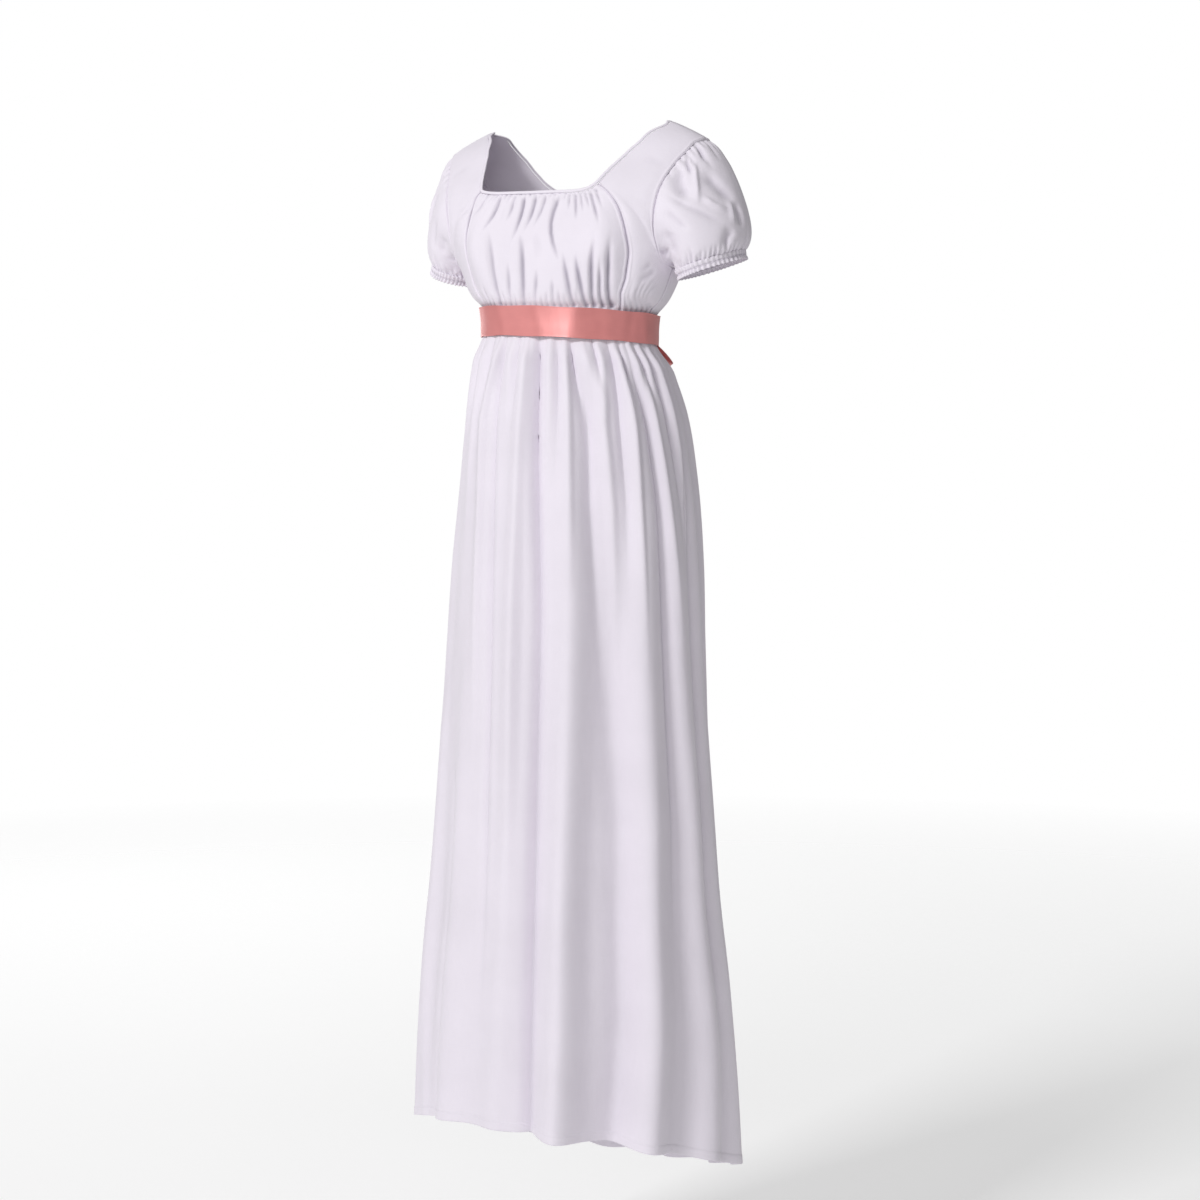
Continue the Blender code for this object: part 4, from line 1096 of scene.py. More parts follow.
class GOWN_OT_cuffs(bpy.types.Operator):
    """Narrow elastic casings with a small frill below"""

    bl_idname = "gown.cuffs"
    bl_label = "Cuffs"

    cut_length = {"left": 0.40, "right": 0.34}
    # Distance down the arm, reach outwards, depth of the puckers
    profile = (
        (-0.0012, 0.0012, 0.0016), (0.0008, 0.0013, 0.0018),
        (0.0024, 0.0010, 0.0016), (0.0040, 0.0006, 0.0014),
        (0.0052, -0.0004, 0.0010), (0.0062, -0.0004, 0.0012),
        (0.0074, 0.0002, 0.0020), (0.0088, 0.0005, 0.0026),
        (0.0100, 0.0006, 0.0030), (0.0110, 0.0005, 0.0032),
    )

    def execute(self, context):
        cloth = context.scene.gown_sizes.cloth
        for suffix in SIDES:
            *_, degrees, end, down, radial = sleeve_parts(suffix)
            turn = np.radians(degrees)
            drift = 1.3 * np.sin(3 * turn) + 0.8 * np.sin(7 * turn + 1)
            wave = 0.5 + 0.5 * np.cos(CUFF_GATHERS * turn + drift)
            uneven = 0.75 + 0.25 * np.sin(5 * turn + 0.7)
            rows = []
            for drop, reach, depth in dense(self.profile, 2):
                rows.append(end + down * (drop + 0.0008 * wave * (drop > 0.009))[:, None]
                            + radial * (reach + depth * (wave * uneven - 0.35) + 0.0008)[:, None])
            outer = np.array(rows)
            facing = np.broadcast_to(radial, outer.shape)
            piece = shell("cuff_casing_" + suffix, outer, cloth, facing, ring=True)
            finish_piece(piece, "white_cloth", material_of("cloth"), "cuff_" + suffix)
        return {"FINISHED"}


class GOWN_OT_neck_binding(bpy.types.Operator):
    """Narrow rolled edge once round the neck opening"""

    bl_idname = "gown.neck_binding"
    bl_label = "Neck binding"

    def execute(self, context):
        left, right = edges_of("left"), edges_of("right")
        front = np.stack(neck_edge(left, right, np.linspace(-1, 1, 121))[:2], axis=-1)
        parts = (
            (1, front), (1, left["strap_front"]), (1, left["strap_back"][::-1]),
            (-1, right["strap_back"]), (-1, right["strap_front"][::-1]),
        )
        loop = np.concatenate([form(side * part[:, 0], part[:, 1])[:-1] for side, part in parts])
        loop = spaced(np.concatenate([loop, loop[:1]]), 421)[:-1]
        for _ in range(3):
            loop = (loop + beside(loop)) / 2
        along = unit(np.roll(loop, -1, axis=0) - np.roll(loop, 1, axis=0))
        away = outward(loop)
        for _ in range(30):
            away = unit((away + beside(away)) / 2)
        into = unit(np.cross(along, away))
        if (into * (loop.mean(axis=0) - loop)).sum() < 0:
            into = -into
        wide = context.scene.gown_sizes.binding
        run = np.arange(len(loop)) / len(loop)
        pucker = 0.00018 * np.sin(run * 2 * math.pi * 150 + 2 * np.sin(run * 40))
        off = 0.0016 - 0.0012 * ease(-0.016, -0.003, loop[:, 2])
        rows = []
        for turn in np.linspace(-0.55 * math.pi, 1.30 * math.pi, 15):
            swell = 0.0013 * math.cos(turn - math.pi / 2)
            across = wide / 2 - wide / 2 * math.cos(turn)
            rise = off + swell + pucker * max(0, swell * 700)
            rows.append(loop + into * (across + 0.0001) + away * rise[:, None])
        outer = np.array(rows)
        middle = loop + into * wide / 2 + away * off[:, None]
        facing = outer - middle[None]
        piece = shell("rolled_neck_edge", outer, 0.0004, facing, ring=True)
        finish_piece(piece, "binding_cloth", material_of("binding"), "neck_binding")
        return {"FINISHED"}


# --- Skirt ------------------------------------------------------------------------------------------

# Smaller folds over the hanging ones: height in metres (below 0 is a valley), half width in degrees, steeper
# side (above 0 towards the wearer's left), share where it starts, share where it ends, then share and degrees
SKIRT_LINES = (
    (0.0060, 2.6, 0.3, 0.00, 0.60, (0.0, -22), (0.05, -24.5), (0.12, -31), (0.22, -28), (0.60, -26)),
    (-0.0060, 2.2, 0.0, 0.00, 0.90, (0.0, -20.5), (0.05, -20.5), (0.12, -22), (0.22, -20), (0.9, -14)),
    (0.0075, 3.4, 0.3, 0.00, 0.80, (0.0, -1.5), (0.12, -3.5), (0.22, -3.4), (0.35, -4), (0.8, -2)),
    (-0.0125, 3.0, -0.2, 0.00, 1.00,
     (0.0, 5.2), (0.05, 4.0), (0.12, 3.4), (0.22, 5.2), (0.35, 7.6), (1.0, 7.6)),
    (-0.0030, 1.5, -0.2, 0.07, 0.40, (0.05, 3.4), (0.12, 2.6), (0.22, 4.4), (0.40, 7.0)),
    (0.0035, 2.2, 0.0, 0.00, 0.22, (0.0, 12.6), (0.12, 11.8), (0.22, 12)),
    (-0.0050, 1.8, 0.0, 0.00, 0.20, (0.0, 17.4), (0.05, 17.2), (0.20, 15.2)),
    (0.0060, 2.0, 0.4, 0.00, 0.36, (0.0, 22.4), (0.05, 22.6), (0.12, 22.6), (0.36, 24)),
    (-0.0070, 1.8, 0.0, 0.00, 0.16, (0.0, 25.2), (0.05, 25.4), (0.16, 30)),
    (-0.0070, 3.2, 0.0, 0.06, 0.50, (0.05, 28), (0.12, 31), (0.22, 31), (0.5, 38)),
    (0.0055, 2.6, 0.3, 0.00, 0.09, (0.0, 34), (0.09, 35.5)),
    (-0.0100, 2.2, 0.0, 0.00, 0.10, (0.0, 39.6), (0.10, 42)),
    (0.0075, 3.4, 0.3, 0.00, 0.46, (0.0, 43.4), (0.05, 42.4), (0.12, 40.0), (0.22, 42.5), (0.46, 45)),
    (-0.0085, 3.0, 0.0, 0.00, 0.40, (0.0, 51), (0.05, 50.5), (0.12, 49), (0.22, 50.5), (0.40, 50)),
    (0.0060, 1.9, 0.4, 0.00, 0.45, (0.0, 54.4), (0.05, 54.8), (0.12, 56.4), (0.22, 56.2), (0.45, 58)),
    (-0.0070, 1.7, 0.0, 0.00, 0.12, (0.0, 57.6), (0.05, 57.8), (0.12, 61)),
    (-0.0100, 3.6, -0.2, 0.04, 0.80,
     (0.0, 60), (0.12, 65.5), (0.22, 68.5), (0.35, 70), (0.6, 73.5), (1.0, 68)),
    (0.0050, 1.8, 0.0, 0.00, 0.10, (0.0, 65.0), (0.10, 68)),
    (-0.0060, 1.8, 0.0, 0.00, 0.10, (0.0, 70.5), (0.10, 74)),
    (0.0070, 2.2, 0.2, 0.06, 0.40, (0.06, 69.5), (0.12, 70.5), (0.22, 74.6), (0.40, 81)),
    (0.0050, 2.0, 0.0, 0.00, 0.09, (0.0, 74.0), (0.09, 76)),
    (-0.0065, 2.2, 0.0, 0.00, 0.30, (0.0, 79.5), (0.12, 82), (0.30, 90)),
    (0.0060, 3.0, 0.0, 0.00, 0.36, (0.0, 84), (0.12, 88), (0.36, 97)),
    (-0.0070, 3.4, 0.0, 0.00, 0.95, (0.0, 93), (0.2, 94.5), (0.5, 94), (0.95, 93)),
    (-0.0040, 2.4, 0.0, 0.00, 0.14, (0.0, -9.3), (0.14, -9.0)),
    (0.0035, 2.6, 0.0, 0.00, 0.16, (0.0, -13.5), (0.16, -13.0)),
    (-0.0045, 2.4, 0.0, 0.00, 0.12, (0.0, -33), (0.12, -35)),
    (0.0045, 3.0, 0.0, 0.00, 0.30, (0.0, -40), (0.30, -44)),
    (-0.0050, 2.6, 0.0, 0.00, 0.16, (0.0, -48), (0.16, -51)),
    (-0.0045, 3.6, 0.0, 0.55, 1.00, (0.55, -44), (0.75, -42), (1.0, -44)),
    (0.0050, 4.4, 0.0, 0.45, 1.00, (0.45, -62), (0.75, -63), (1.0, -57)),
    (0.0040, 3.0, 0.0, 0.00, 0.20, (0.0, -56), (0.2, -58)),
    (-0.0060, 2.8, 0.0, 0.00, 0.30, (0.0, -66), (0.3, -68)),
    (0.0050, 4.0, 0.2, 0.00, 0.60, (0.0, -76), (0.6, -80)),
    (-0.0065, 3.2, 0.0, 0.00, 0.80, (0.0, 104), (0.1, 112), (0.8, 116)),
    (0.0070, 4.2, 0.2, 0.00, 0.70, (0.0, 120), (0.2, 121), (0.7, 119)),
    (-0.0080, 3.2, 0.0, 0.00, 0.90, (0.0, 133), (0.2, 139), (0.9, 141)),
    (0.0060, 3.4, 0.0, 0.00, 0.45, (0.0, 141), (0.45, 147)),
    (-0.0060, 2.6, 0.0, 0.00, 0.30, (0.0, 149), (0.3, 150)),
    (0.0065, 3.6, -0.2, 0.00, 0.60, (0.0, 160), (0.3, 163), (0.6, 165)),
    (-0.0085, 3.2, 0.0, 0.00, 0.95, (0.0, 170), (0.3, 168), (0.95, 169)),
    (-0.0080, 3.0, 0.0, 0.00, 0.90, (0.0, 188), (0.3, 194), (0.9, 194)),
    (0.0060, 3.6, 0.2, 0.00, 0.50, (0.0, 199), (0.5, 201)),
    (-0.0065, 2.8, 0.0, 0.00, 0.40, (0.0, 207), (0.4, 214)),
    (-0.0080, 3.4, 0.0, 0.00, 0.95, (0.0, 219), (0.4, 222), (0.95, 221)),
    (0.0065, 4.0, 0.0, 0.00, 0.55, (0.0, 228), (0.55, 230)),
    (-0.0060, 2.8, 0.0, 0.00, 0.35, (0.0, 240), (0.35, 245)),
    (-0.0075, 3.4, 0.0, 0.00, 0.90, (0.0, 251), (0.3, 249), (0.9, 250)),
    (0.0060, 3.8, 0.2, 0.00, 0.50, (0.0, 259), (0.5, 256)),
    (-0.0070, 3.2, 0.0, 0.00, 0.80, (0.0, 273), (0.8, 277)),
)
# Fine gathers just below the sash, round the waist
FINE_GATHERS = 66
# Share of the way to the hem at which the hem is stitched
HEM_STITCHES = 0.9903


def hem_z(angle):
    return HEM_Z[0] + (HEM_Z[1] - HEM_Z[0]) * ((1 - np.cos(angle)) / 2) ** 1.15


def skirt_surface(angle, share):
    """Base of the skirt's outer side: angle from the centre front (radians), share of the way to the hem."""
    drop = share * (waist_z(angle) - hem_z(angle))
    half_x, half_y, centre = (smooth(SKIRT, drop, i) for i in (1, 2, 3))
    away = unit(np.stack([np.sin(angle) * half_y, -np.cos(angle) * half_x, 0 * angle], axis=-1))
    degrees = np.degrees(angle)
    bulge = -FOLD_HOLLOW * share + 0 * degrees
    for height, width, begins, *turns in FOLDS:
        apart = apart_from(degrees, np.interp(share, FOLD_LEVELS, turns))
        grown = np.clip((share - begins) / (1 - begins), 0, 1) ** 0.8
        bulge = bulge + height * grown * bell(apart, width)
    swell = 0.0026 * ease(0.010, 0.05, share) * (1 - ease(0.10, 0.52, share))
    bulge = bulge + swell
    folds = bpy.context.scene.gown_sizes.folds
    for height, width, steep, starts, ends, *line in SKIRT_LINES:
        at, centre_line = np.array(line, float).T
        apart = apart_from(degrees, np.interp(share, at, centre_line))
        wide = width * (1 - steep * np.sign(apart))
        if starts:
            begin = ease(starts - 0.02, starts + 0.06, share)
        else:
            begin = 0.25 * ease(-0.01, 0.012, share) + 0.75 * ease(0.018, 0.050, share)
        grown = begin * (1 - ease(max(ends - 0.35, 0.3 * ends), ends, share) * (ends < 0.999))
        bulge = bulge + folds * height * grown * bell(apart, wide, 1.8)
    phase = np.radians(degrees * FINE_GATHERS) + 1.7 * np.sin(angle * 7) + 1.1 * np.sin(angle * 17 + 1)
    fine = np.abs(np.sin(phase / 2)) ** 0.8
    reach = 0.030 + 0.022 * np.sin(angle * 23 + 2 * np.sin(angle * 5))
    bulge = bulge + 0.0017 * fine * np.exp(-np.maximum(share - 0.018, 0) / reach) * ease(0.012, 0.026, share)
    slow = np.sin(degrees * 0.21 + 3 * share) * np.sin(degrees * 0.093 + 9 * share + 1)
    bulge = bulge + 0.0012 * slow * ease(0.05, 0.3, share)
    ring = [half_x * np.sin(angle), centre - half_y * np.cos(angle), waist_z(angle) - drop]
    return np.stack(ring, axis=-1) + away * bulge[..., None]


def skirt_levels():
    """Shares of the way to the hem: close under the sash and at the turned hem, wider between."""
    top = np.linspace(0, 0.16, 46)
    body = np.linspace(0.16, 0.985, 90)[1:]
    return np.concatenate([top, body, (0.9870, 0.9884, 0.9890, 0.9896, 0.992, 0.996, 0.9990, 1.0)])


def level_away(points):
    """Level directions out of the skirt, from points that go round it."""
    across = np.gradient(points, axis=-2)
    return unit(np.stack([across[..., 1], -across[..., 0], 0 * across[..., 0]], axis=-1))


def skirt_grid(first, last, columns):
    """Grid of points of a skirt panel between two seams with its outward directions."""
    angle = np.radians(np.linspace(first, last, columns))
    levels = skirt_levels()
    points = skirt_surface(angle[None, :] + 0 * levels[:, None], levels[:, None] + 0 * angle[None, :])
    return points, level_away(points), levels


class GOWN_OT_skirt(bpy.types.Operator):
    """Long skirt gathered under the sash: one front and two backs, hanging in folds to a turned hem"""

    bl_idname = "gown.skirt"
    bl_label = "Skirt"

    # Name, first and last degree, columns, cut of the cloth, its area, solids
    panels = (
        ("skirt_front", -90, 90, 300, (0.83, 1.10), 0.67, ("skirt_front_right", "skirt_front_left")),
        ("skirt_back_panel_left", 90, 180, 160, (0.385, 1.17), 0.35, ("skirt_back_left",)),
        ("skirt_back_panel_right", 180, 270, 160, (0.385, 1.17), 0.35, ("skirt_back_right",)),
    )

    def execute(self, context):
        cloth = context.scene.gown_sizes.cloth
        for name, first, last, columns, cut, area, nodes in self.panels:
            points, away, levels = skirt_grid(first, last, columns)
            run = run_of(points[80])
            seam = welt(run, 0.0006, 0.0014) + welt(run[-1] - run, 0.0006, 0.0014)
            pucker = 1 + 0.35 * np.sin(levels * 230)[:, None]
            hem = ease(0.9884, 0.9896, levels) * (1 - 0.4 * ease(0.999, 1.0, levels))
            groove = bell(levels - HEM_STITCHES, 0.0006)
            rise = 0.0016 + seam[None, :] * pucker + (0.0007 * hem - 0.0004 * groove)[:, None]
            thick = cloth + 0.0007 * hem[:, None] + 0 * run[None, :]
            piece = shell(name, points + away * rise[..., None], thick, away, crease=(0.0050, 0.0090))
            finish_piece(piece, "white_cloth", material_of("cloth"), *nodes)
        return {"FINISHED"}


class GOWN_OT_stitching(bpy.types.Operator):
    """Rows of stitches along the hem and the cuffs"""

    bl_idname = "gown.stitching"
    bl_label = "Stitching"

    def execute(self, context):
        pitch = context.scene.gown_sizes.stitch
        rows = []
        for _, first, last, columns, *_ in GOWN_OT_skirt.panels:
            angle = np.radians(np.linspace(first, last, columns * 2))
            points = skirt_surface(angle, np.full_like(angle, HEM_STITCHES))
            away = level_away(points)
            rows.append(stitches("row", points + away * 0.0021, away, pitch))
        piece = join_pieces("hem_stitches", rows)
        finish_piece(piece, "white_cloth", material_of("thread"))
        rows = []
        for suffix in SIDES:
            *_, end, down, radial = sleeve_parts(suffix)
            line = end + down * 0.0055 + radial * 0.0018
            line, facing = (np.concatenate([ring, ring[:1]]) for ring in (line, radial))
            rows.append(stitches("row", line, facing, 0.0026, 0.0017))
        piece = join_pieces("cuff_stitches", rows)
        finish_piece(piece, "white_cloth", material_of("thread"))
        return {"FINISHED"}


# --- Sash and bow -----------------------------------------------------------------------------------

# Half the sash's height, and its profile: height from the waist seam, distance off the form
SASH_HALF = 0.0195
SASH_PROFILE = ((-SASH_HALF, 0.0050), (-0.0100, 0.0048), (0.0, 0.0046), (0.0100, 0.0056), (SASH_HALF, 0.0074))
# Soft upright creases of the sash: degrees from the centre front at the foot and at the top, height and
# half width
SASH_CREASES = (
    (-58, -60, 0.0010, 5.0), (-22, -26, 0.0008, 6.0), (6, 2, 0.0010, 6.0),
    (52, 50, 0.0012, 5.0), (66, 70, -0.0010, 4.0), (84, 80, 0.0014, 5.0),
    (112, 108, 0.0012, 6.0), (140, 146, -0.0010, 5.0), (163, 160, 0.0012, 3.0), (198, 201, 0.0012, 3.0),
    (226, 222, -0.0010, 5.0), (256, 250, 0.0012, 6.0),
)
# The turn where the sash leaves the flat front: degrees at the foot and at the top, rise, spread in degrees
SASH_TURN = (27.0, 29.5, 0.0062, 17.0)
# Width, depth and height of the bow's knot
KNOT = (0.030, 0.017, 0.036)
LOOP = {"length": 0.080, "height": 0.036, "full": 0.014, "droop": 44.0, "start": 0.0218}
TAIL_WIDTH = 0.036
# Share of a tail's length over which it comes in from the knot to the skirt
TAIL_DROP = 0.16
# Each tail: x under the knot and at its end, length, distance off the skirt
TAILS = {"left": (0.0115, 0.052, 0.345, 0.0042), "right": (-0.0120, -0.046, 0.300, 0.0042)}


class GOWN_OT_sash(bpy.types.Operator):
    """Satin ribbon round the waist seam"""

    bl_idname = "gown.sash"
    bl_label = "Sash"

    def execute(self, context):
        ribbon = context.scene.gown_sizes.ribbon
        angle = np.radians(np.arange(360) * 1.0)
        degrees = np.degrees(angle)
        edge_rows = np.array([SASH_HALF, 0.0192, 0.0185])
        heights = np.concatenate([-edge_rows, np.linspace(-0.0175, 0.0175, 15), edge_rows[::-1]])
        rows = []
        for height in heights:
            ring = form(angle, waist_z(angle))
            ring[:, 2] += height + 0.0004 * np.sin(angle * 9 + height * 60)
            bulge = 0 * angle
            up = (height + SASH_HALF) / (2 * SASH_HALF)
            for foot, top, rise, width in SASH_CREASES:
                apart = apart_from(degrees, foot + (top - foot) * up)
                bulge = bulge + rise * bell(apart, width) * (0.75 + 0.25 * math.sin(math.pi * up))
            foot, top, rise, wide = SASH_TURN
            apart = apart_from(degrees, foot + (top - foot) * up)
            bulge = bulge + rise * np.exp(-(np.hypot(apart, 1.6) - 1.6) / wide)
            edge = 0.00035 * bell(SASH_HALF - abs(height), 0.0007)
            off = smooth(SASH_PROFILE, height, 1) + 0.0028 + 0.0006 * math.sin(math.pi * up)
            rows.append(ring + outward(ring) * (off + edge + bulge)[:, None])
        outer = np.array(rows)[::-1]
        piece = shell("ribbon_sash", outer, ribbon, outward(outer), ring=True)
        finish_piece(piece, "ribbon_satin", material_of("ribbon"), "sash")
        return {"FINISHED"}


def knot_place():
    """Centre of the bow's knot at the back of the sash."""
    back = form(math.pi, waist_z(math.pi))
    return back[1] + 0.0016 + 0.0074 + 0.0012 + 0.0004 + KNOT[1] / 2, back[2]


class GOWN_OT_bow(bpy.types.Operator):
    """Bow at the centre back: a wrapped knot, two loops and two hanging tails"""

    bl_idname = "gown.bow"
    bl_label = "Bow"

    def execute(self, context):
        self.knot()
        self.loops(context.scene.gown_sizes.ribbon)
        self.tails(context.scene.gown_sizes.ribbon)
        return {"FINISHED"}

    def knot(self):
        """Ribbon wrapped once round the middle of the bow, pleated by the pull."""
        y, z = knot_place()
        turn = np.linspace(0, 2 * math.pi, 73)[:-1]
        rows = []
        for share in np.linspace(-1, 1, 41):
            pinch = 1 - 0.10 * math.cos(share * math.pi / 2) ** 2
            pleat = 0.0011 * math.cos(share * 9.0 + 0.6) * (1 - share**4)
            closed = math.sqrt(max(0.0, 1 - max(0.0, abs(share) - 0.62) ** 2 / 0.40**2))
            depth = KNOT[1] / 2 * pinch * (0.5 + 0.5 * closed) + pleat
            tall = KNOT[2] / 2 * pinch * (0.72 + 0.28 * closed) + pleat
            ring_y = depth * np.sign(np.sin(turn)) * np.abs(np.sin(turn)) ** 0.8
            ring_z = tall * np.sign(np.cos(turn)) * np.abs(np.cos(turn)) ** 0.8
            rows.append(np.stack([np.full_like(turn, share * KNOT[0] / 2), y + ring_y, z + ring_z], axis=-1))
        outer = np.array(rows)
        facing = (outer - (0, y, z)) * (0, 1, 1)
        piece = shell("ribbon_knot", outer, 0.0012, facing, ring=True)
        finish_piece(piece, "ribbon_satin", material_of("ribbon"), "bow_knot")

    def loops(self, ribbon):
        """Two drooping loops, gathered into the knot."""
        y0, z0 = knot_place()
        droop = math.radians(LOOP["droop"])
        for suffix, side in SIDES.items():
            turn = np.arange(120) * 2 * math.pi / 120
            out = (1 - np.cos(turn)) / 2
            along = LOOP["length"] * out
            full = LOOP["full"] * np.sin(turn) * (0.25 + 0.75 * ease(0.0, 0.75, out))
            around = np.stack([along, full], axis=-1)
            normal = np.roll(around, -1, axis=0) - np.roll(around, 1, axis=0)
            normal = unit(np.stack([normal[:, 1], -normal[:, 0]], axis=-1))
            cos, sin = math.cos(droop), math.sin(droop)
            rows, faces_out = [], []
            for share in np.linspace(-0.5, 0.5, 33):
                high = LOOP["height"] * share * (0.50 + 0.50 * ease(0.0, 0.5, out))
                pleat = np.cos(share * 26 + 0.8) * 0.0016 * (1 - ease(0.1, 0.75, out))
                pleat = pleat + 0.0010 * np.sin(share * 7 + out * 5 + side)
                flat = around + normal * (0.0007 + pleat)[:, None]
                x = LOOP["start"] + flat[:, 0] * cos + high * sin
                z = high * cos - flat[:, 0] * sin
                y = flat[:, 1] + 0.10 * flat[:, 0] + 0.002
                rows.append(np.stack([side * x, y0 + y, z0 + z], axis=-1))
                out_x, out_y = normal.T
                faces_out.append(np.stack([side * out_x * cos, out_y, -out_x * sin], axis=-1))
            outer = np.array(rows)
            piece = shell("ribbon_loop_" + suffix, outer, ribbon, np.array(faces_out), ring=True)
            finish_piece(piece, "ribbon_satin", material_of("ribbon"), "bow_loop_" + suffix)

    def tails(self, ribbon):
        """Two tails hanging over the back of the skirt, cut aslant."""
        knot_y, knot_z = knot_place()
        levels = np.concatenate([np.linspace(0, 0.2, 30), np.linspace(0.2, 1, 80)[1:]])
        for suffix, (near, far, length, off) in TAILS.items():
            sign = 1 if near > 0 else -1
            across = np.linspace(-0.5, 0.5, 25)
            wide = TAIL_WIDTH * (0.55 + 0.45 * ease(0, 0.45, levels))
            x = near + (far - near) * levels[:, None] + across[None, :] * wide[:, None]
            slant = (0.010 * levels + 0.014 * ease(0.8, 1.0, levels))[:, None] * across[None, :] * sign
            z = knot_z - KNOT[2] / 2 - 0.0003 - length * levels[:, None] - slant
            y = reach_of_back(x, z)
            y = np.maximum(y, y[:, 12:13]) * 0.6 + y.max(axis=1, keepdims=True) * 0.4
            wave = 0.0022 * np.sin(2.6 * math.pi * levels + near * 60)[:, None]
            curl = 0.0016 * np.cos(across * 7 + near * 90)[None, :] * (0.4 + 0.6 * levels[:, None])
            pleat = 0.0010 * np.cos(across * 22)[None, :] * (1 - ease(0, 0.35, levels))[:, None]
            y = y + off + 0.0016 + wave + np.abs(curl) + pleat
            hung = 1 - ease(0, TAIL_DROP, levels)[:, None]
            y = y * (1 - hung) + knot_y * hung
            outer = np.stack([x, y, z], axis=-1)
            facing = np.broadcast_to(np.array([0.0, 1.0, 0.0]), outer.shape)
            piece = shell("ribbon_tail_" + suffix, outer + facing * ribbon, ribbon, facing)
            finish_piece(piece, "ribbon_satin", material_of("ribbon"), "bow_tail_" + suffix)


def reach_of_back(x, z):
    """How far back the skirt reaches at these places, as a smooth field."""
    angle = math.pi - np.arcsin(np.clip(x / 0.15, -0.9, 0.9))
    share = np.clip((waist_z(angle) - z) / (waist_z(angle) - hem_z(angle)), 0, 1)
    turns = (-0.06, -0.03, 0.0, 0.03, 0.06)
    return np.max([skirt_surface(angle + turn, share)[..., 1] for turn in turns], axis=0) + 0.0016


# --- Stage ------------------------------------------------------------------------------------------


def area_light(name, place, target, size, power):
    """Soft square light aimed at a point."""
    data = bpy.data.lights.new(name, "AREA")
    data.shape, data.size, data.energy = "SQUARE", size, power
    lamp = bpy.data.objects.new(name, data)
    bpy.context.scene.collection.objects.link(lamp)
    aim = np.array(target, float) - np.array(place, float)
    lamp.location = place
    lamp.rotation_mode = "QUATERNION"
    lamp.rotation_quaternion = Vector(aim).to_track_quat("-Z", "Y")


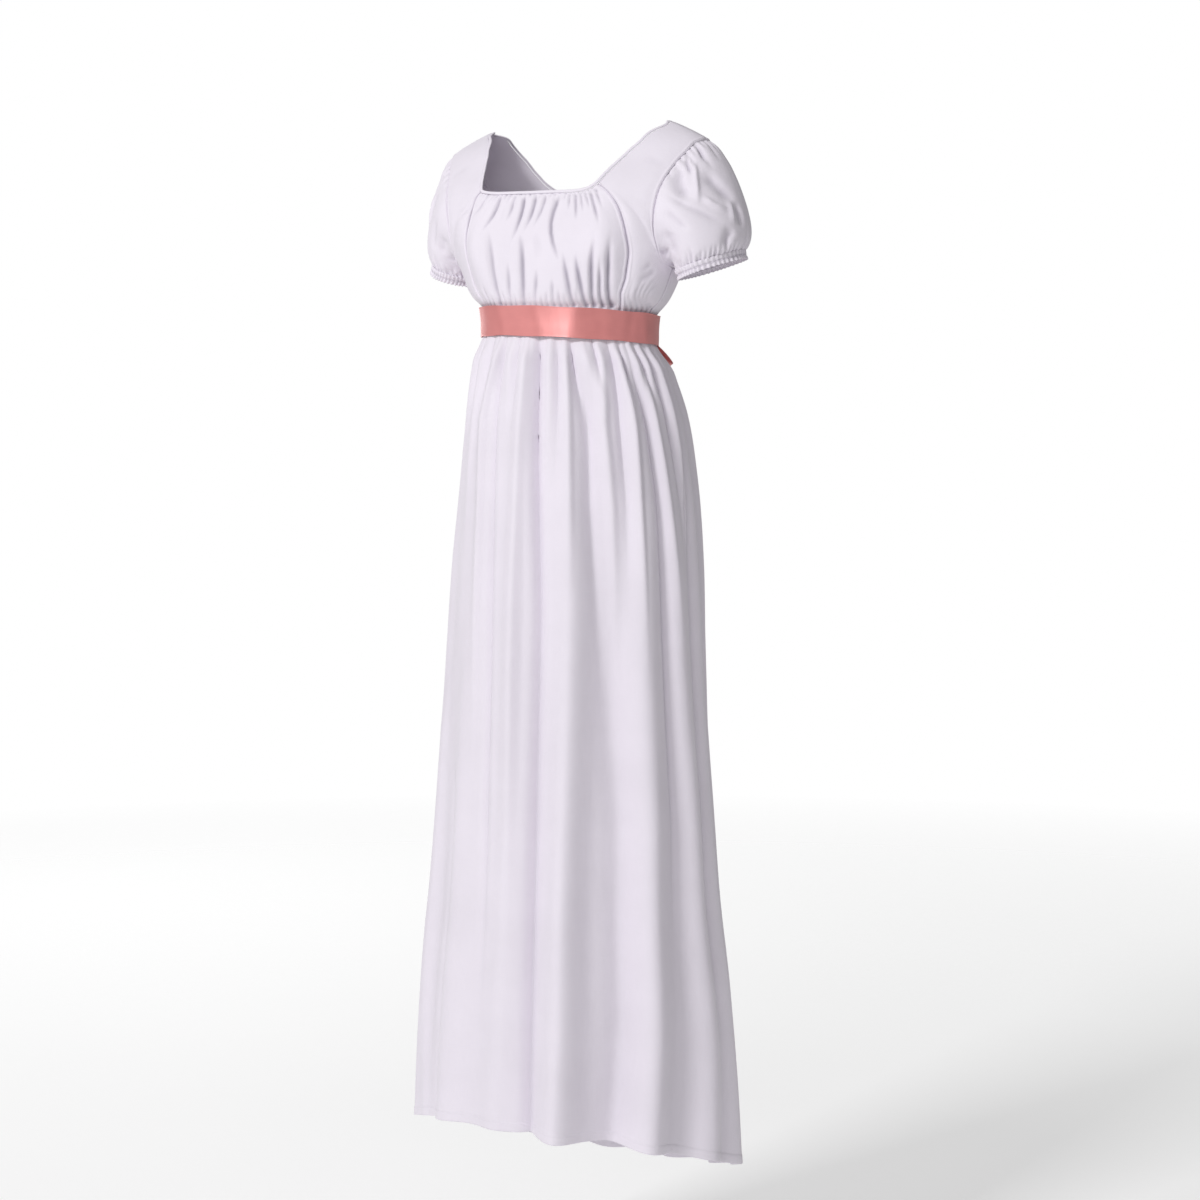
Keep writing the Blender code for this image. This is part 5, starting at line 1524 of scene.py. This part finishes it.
class GOWN_OT_stage(bpy.types.Operator):
    """Pale floor, soft studio light and the camera"""

    bl_idname = "gown.stage"
    bl_label = "Stage"

    azimuth: bpy.props.FloatProperty(
        name="Azimuth", description="Degrees that the camera is turned from the front", default=30.0
    )
    distance: length_property("Distance", "From the gown's axis", 3.42)

    def execute(self, context):
        scene = context.scene
        bpy.ops.object.select_all(action="DESELECT")
        bpy.ops.mesh.primitive_circle_add(vertices=96, radius=6, fill_type="NGON", location=(0, 0, -1.62))
        floor = context.object
        floor.name = "pale_floor"
        shader = Shader("pale floor")
        where = shader.spots["Object"]
        tone = shader.mix(shader.noise(where, 1.5), (0.94, 0.94, 0.94, 1), (0.97, 0.97, 0.97, 1))
        distance = shader.add("ShaderNodeVectorMath", where, operation="LENGTH")
        fade = shader.ramp(shader.math("DIVIDE", distance.outputs["Value"], 6.0), 0.20, 0.85)
        floor.data.materials.append(shader.finish(
            Base_Color=tone, Alpha=shader.math("SUBTRACT", 1.0, fade), Roughness=0.9,
            Emission_Color=(1.0, 1.0, 1.0, 1.0), Emission_Strength=0.22,
        ))
        turn, pitch = math.radians(self.azimuth), math.radians(3.75)
        towards = Vector((math.sin(turn), -math.cos(turn), 0))
        right = Vector((math.cos(turn), math.sin(turn), 0))
        lens = bpy.data.cameras.new("camera")
        lens.sensor_width, lens.lens = 36.0, 2548.0 / 1200.0 * 36.0
        camera = bpy.data.objects.new("camera", lens)
        scene.collection.objects.link(camera)
        camera.location = towards * self.distance + right * 0.027 + Vector((0, 0, -0.4077))
        look = -towards * math.cos(pitch) - Vector((0, 0, math.sin(pitch)))
        camera.rotation_mode = "QUATERNION"
        camera.rotation_quaternion = look.to_track_quat("-Z", "Y")
        scene.camera = camera
        self.sky(scene)
        # Each light: metres aside, towards the camera and up, height aimed at, size and power
        for name, side, front, up, aim, size, power in (
            ("key light", -3.9, 4.9, 3.4, 6.0, 1.5, 455.0),
            ("side light", -4.2, 0.6, 0.6, -0.6, 2.2, 14.0),
            ("front light", -1.4, 7.0, 0.3, 6.0, 3.0, 104.0),
            ("back light", -1.5, -4.0, 1.0, -0.6, 2.4, 45.0),
        ):
            place = towards * front + right * side + Vector((0, 0, up))
            area_light(name, tuple(place), (0, 0, aim), size, power)
        return {"FINISHED"}

    def sky(self, scene):
        """Pale surroundings: white where the camera looks at them, dimmer as a light."""
        world = bpy.data.worlds.new("studio")
        scene.world = world
        world.use_nodes = True
        tree = world.node_tree
        seen = tree.nodes.new("ShaderNodeBackground")
        seen.inputs["Color"].default_value = (1.0, 1.0, 1.0, 1.0)
        seen.inputs["Strength"].default_value = 1.0
        light = tree.nodes["Background"]
        light.inputs["Color"].default_value = (1.0, 1.0, 1.0, 1.0)
        light.inputs["Strength"].default_value = 0.32
        path = tree.nodes.new("ShaderNodeLightPath")
        both = tree.nodes.new("ShaderNodeMixShader")
        tree.links.new(path.outputs["Is Camera Ray"], both.inputs[0])
        tree.links.new(light.outputs[0], both.inputs[1])
        tree.links.new(seen.outputs[0], both.inputs[2])
        tree.links.new(both.outputs[0], tree.nodes["World Output"].inputs["Surface"])
        scene.view_settings.view_transform = "Standard"


# --- Add-on -----------------------------------------------------------------------------------------

PIECES = (
    GOWN_OT_bodice_front, GOWN_OT_bodice_sides, GOWN_OT_bodice_backs, GOWN_OT_neck_binding, GOWN_OT_sleeves,
    GOWN_OT_cuffs, GOWN_OT_skirt, GOWN_OT_stitching, GOWN_OT_sash, GOWN_OT_bow, GOWN_OT_stage,
)


class GOWN_PT_panel(bpy.types.Panel):
    """Sizes, colours and the pieces in sewing order"""

    bl_idname = "GOWN_PT_panel"
    bl_label = "Regency Gown"
    bl_space_type = "VIEW_3D"
    bl_region_type = "UI"
    bl_category = "Gown"

    def draw(self, context):
        layout = self.layout
        for group in (context.scene.gown_sizes, context.scene.gown_colours):
            box = layout.box()
            for name in group.__annotations__:
                box.prop(group, name)
        for operator in PIECES:
            layout.operator(operator.bl_idname)


CLASSES = (GownSizes, GownColours, *PIECES, GOWN_PT_panel)


def register():
    for cls in CLASSES:
        bpy.utils.register_class(cls)
    bpy.types.Scene.gown_sizes = bpy.props.PointerProperty(type=GownSizes)
    bpy.types.Scene.gown_colours = bpy.props.PointerProperty(type=GownColours)


def unregister():
    del bpy.types.Scene.gown_colours
    del bpy.types.Scene.gown_sizes
    for cls in reversed(CLASSES):
        bpy.utils.unregister_class(cls)


def main():
    register()
    gown = bpy.ops.gown
    gown.bodice_front()
    gown.bodice_sides()
    gown.bodice_backs()
    gown.neck_binding()
    gown.sleeves()
    gown.cuffs()
    gown.skirt()
    gown.stitching()
    gown.sash()
    gown.bow()
    gown.stage()


if __name__ == "__main__":
    main()
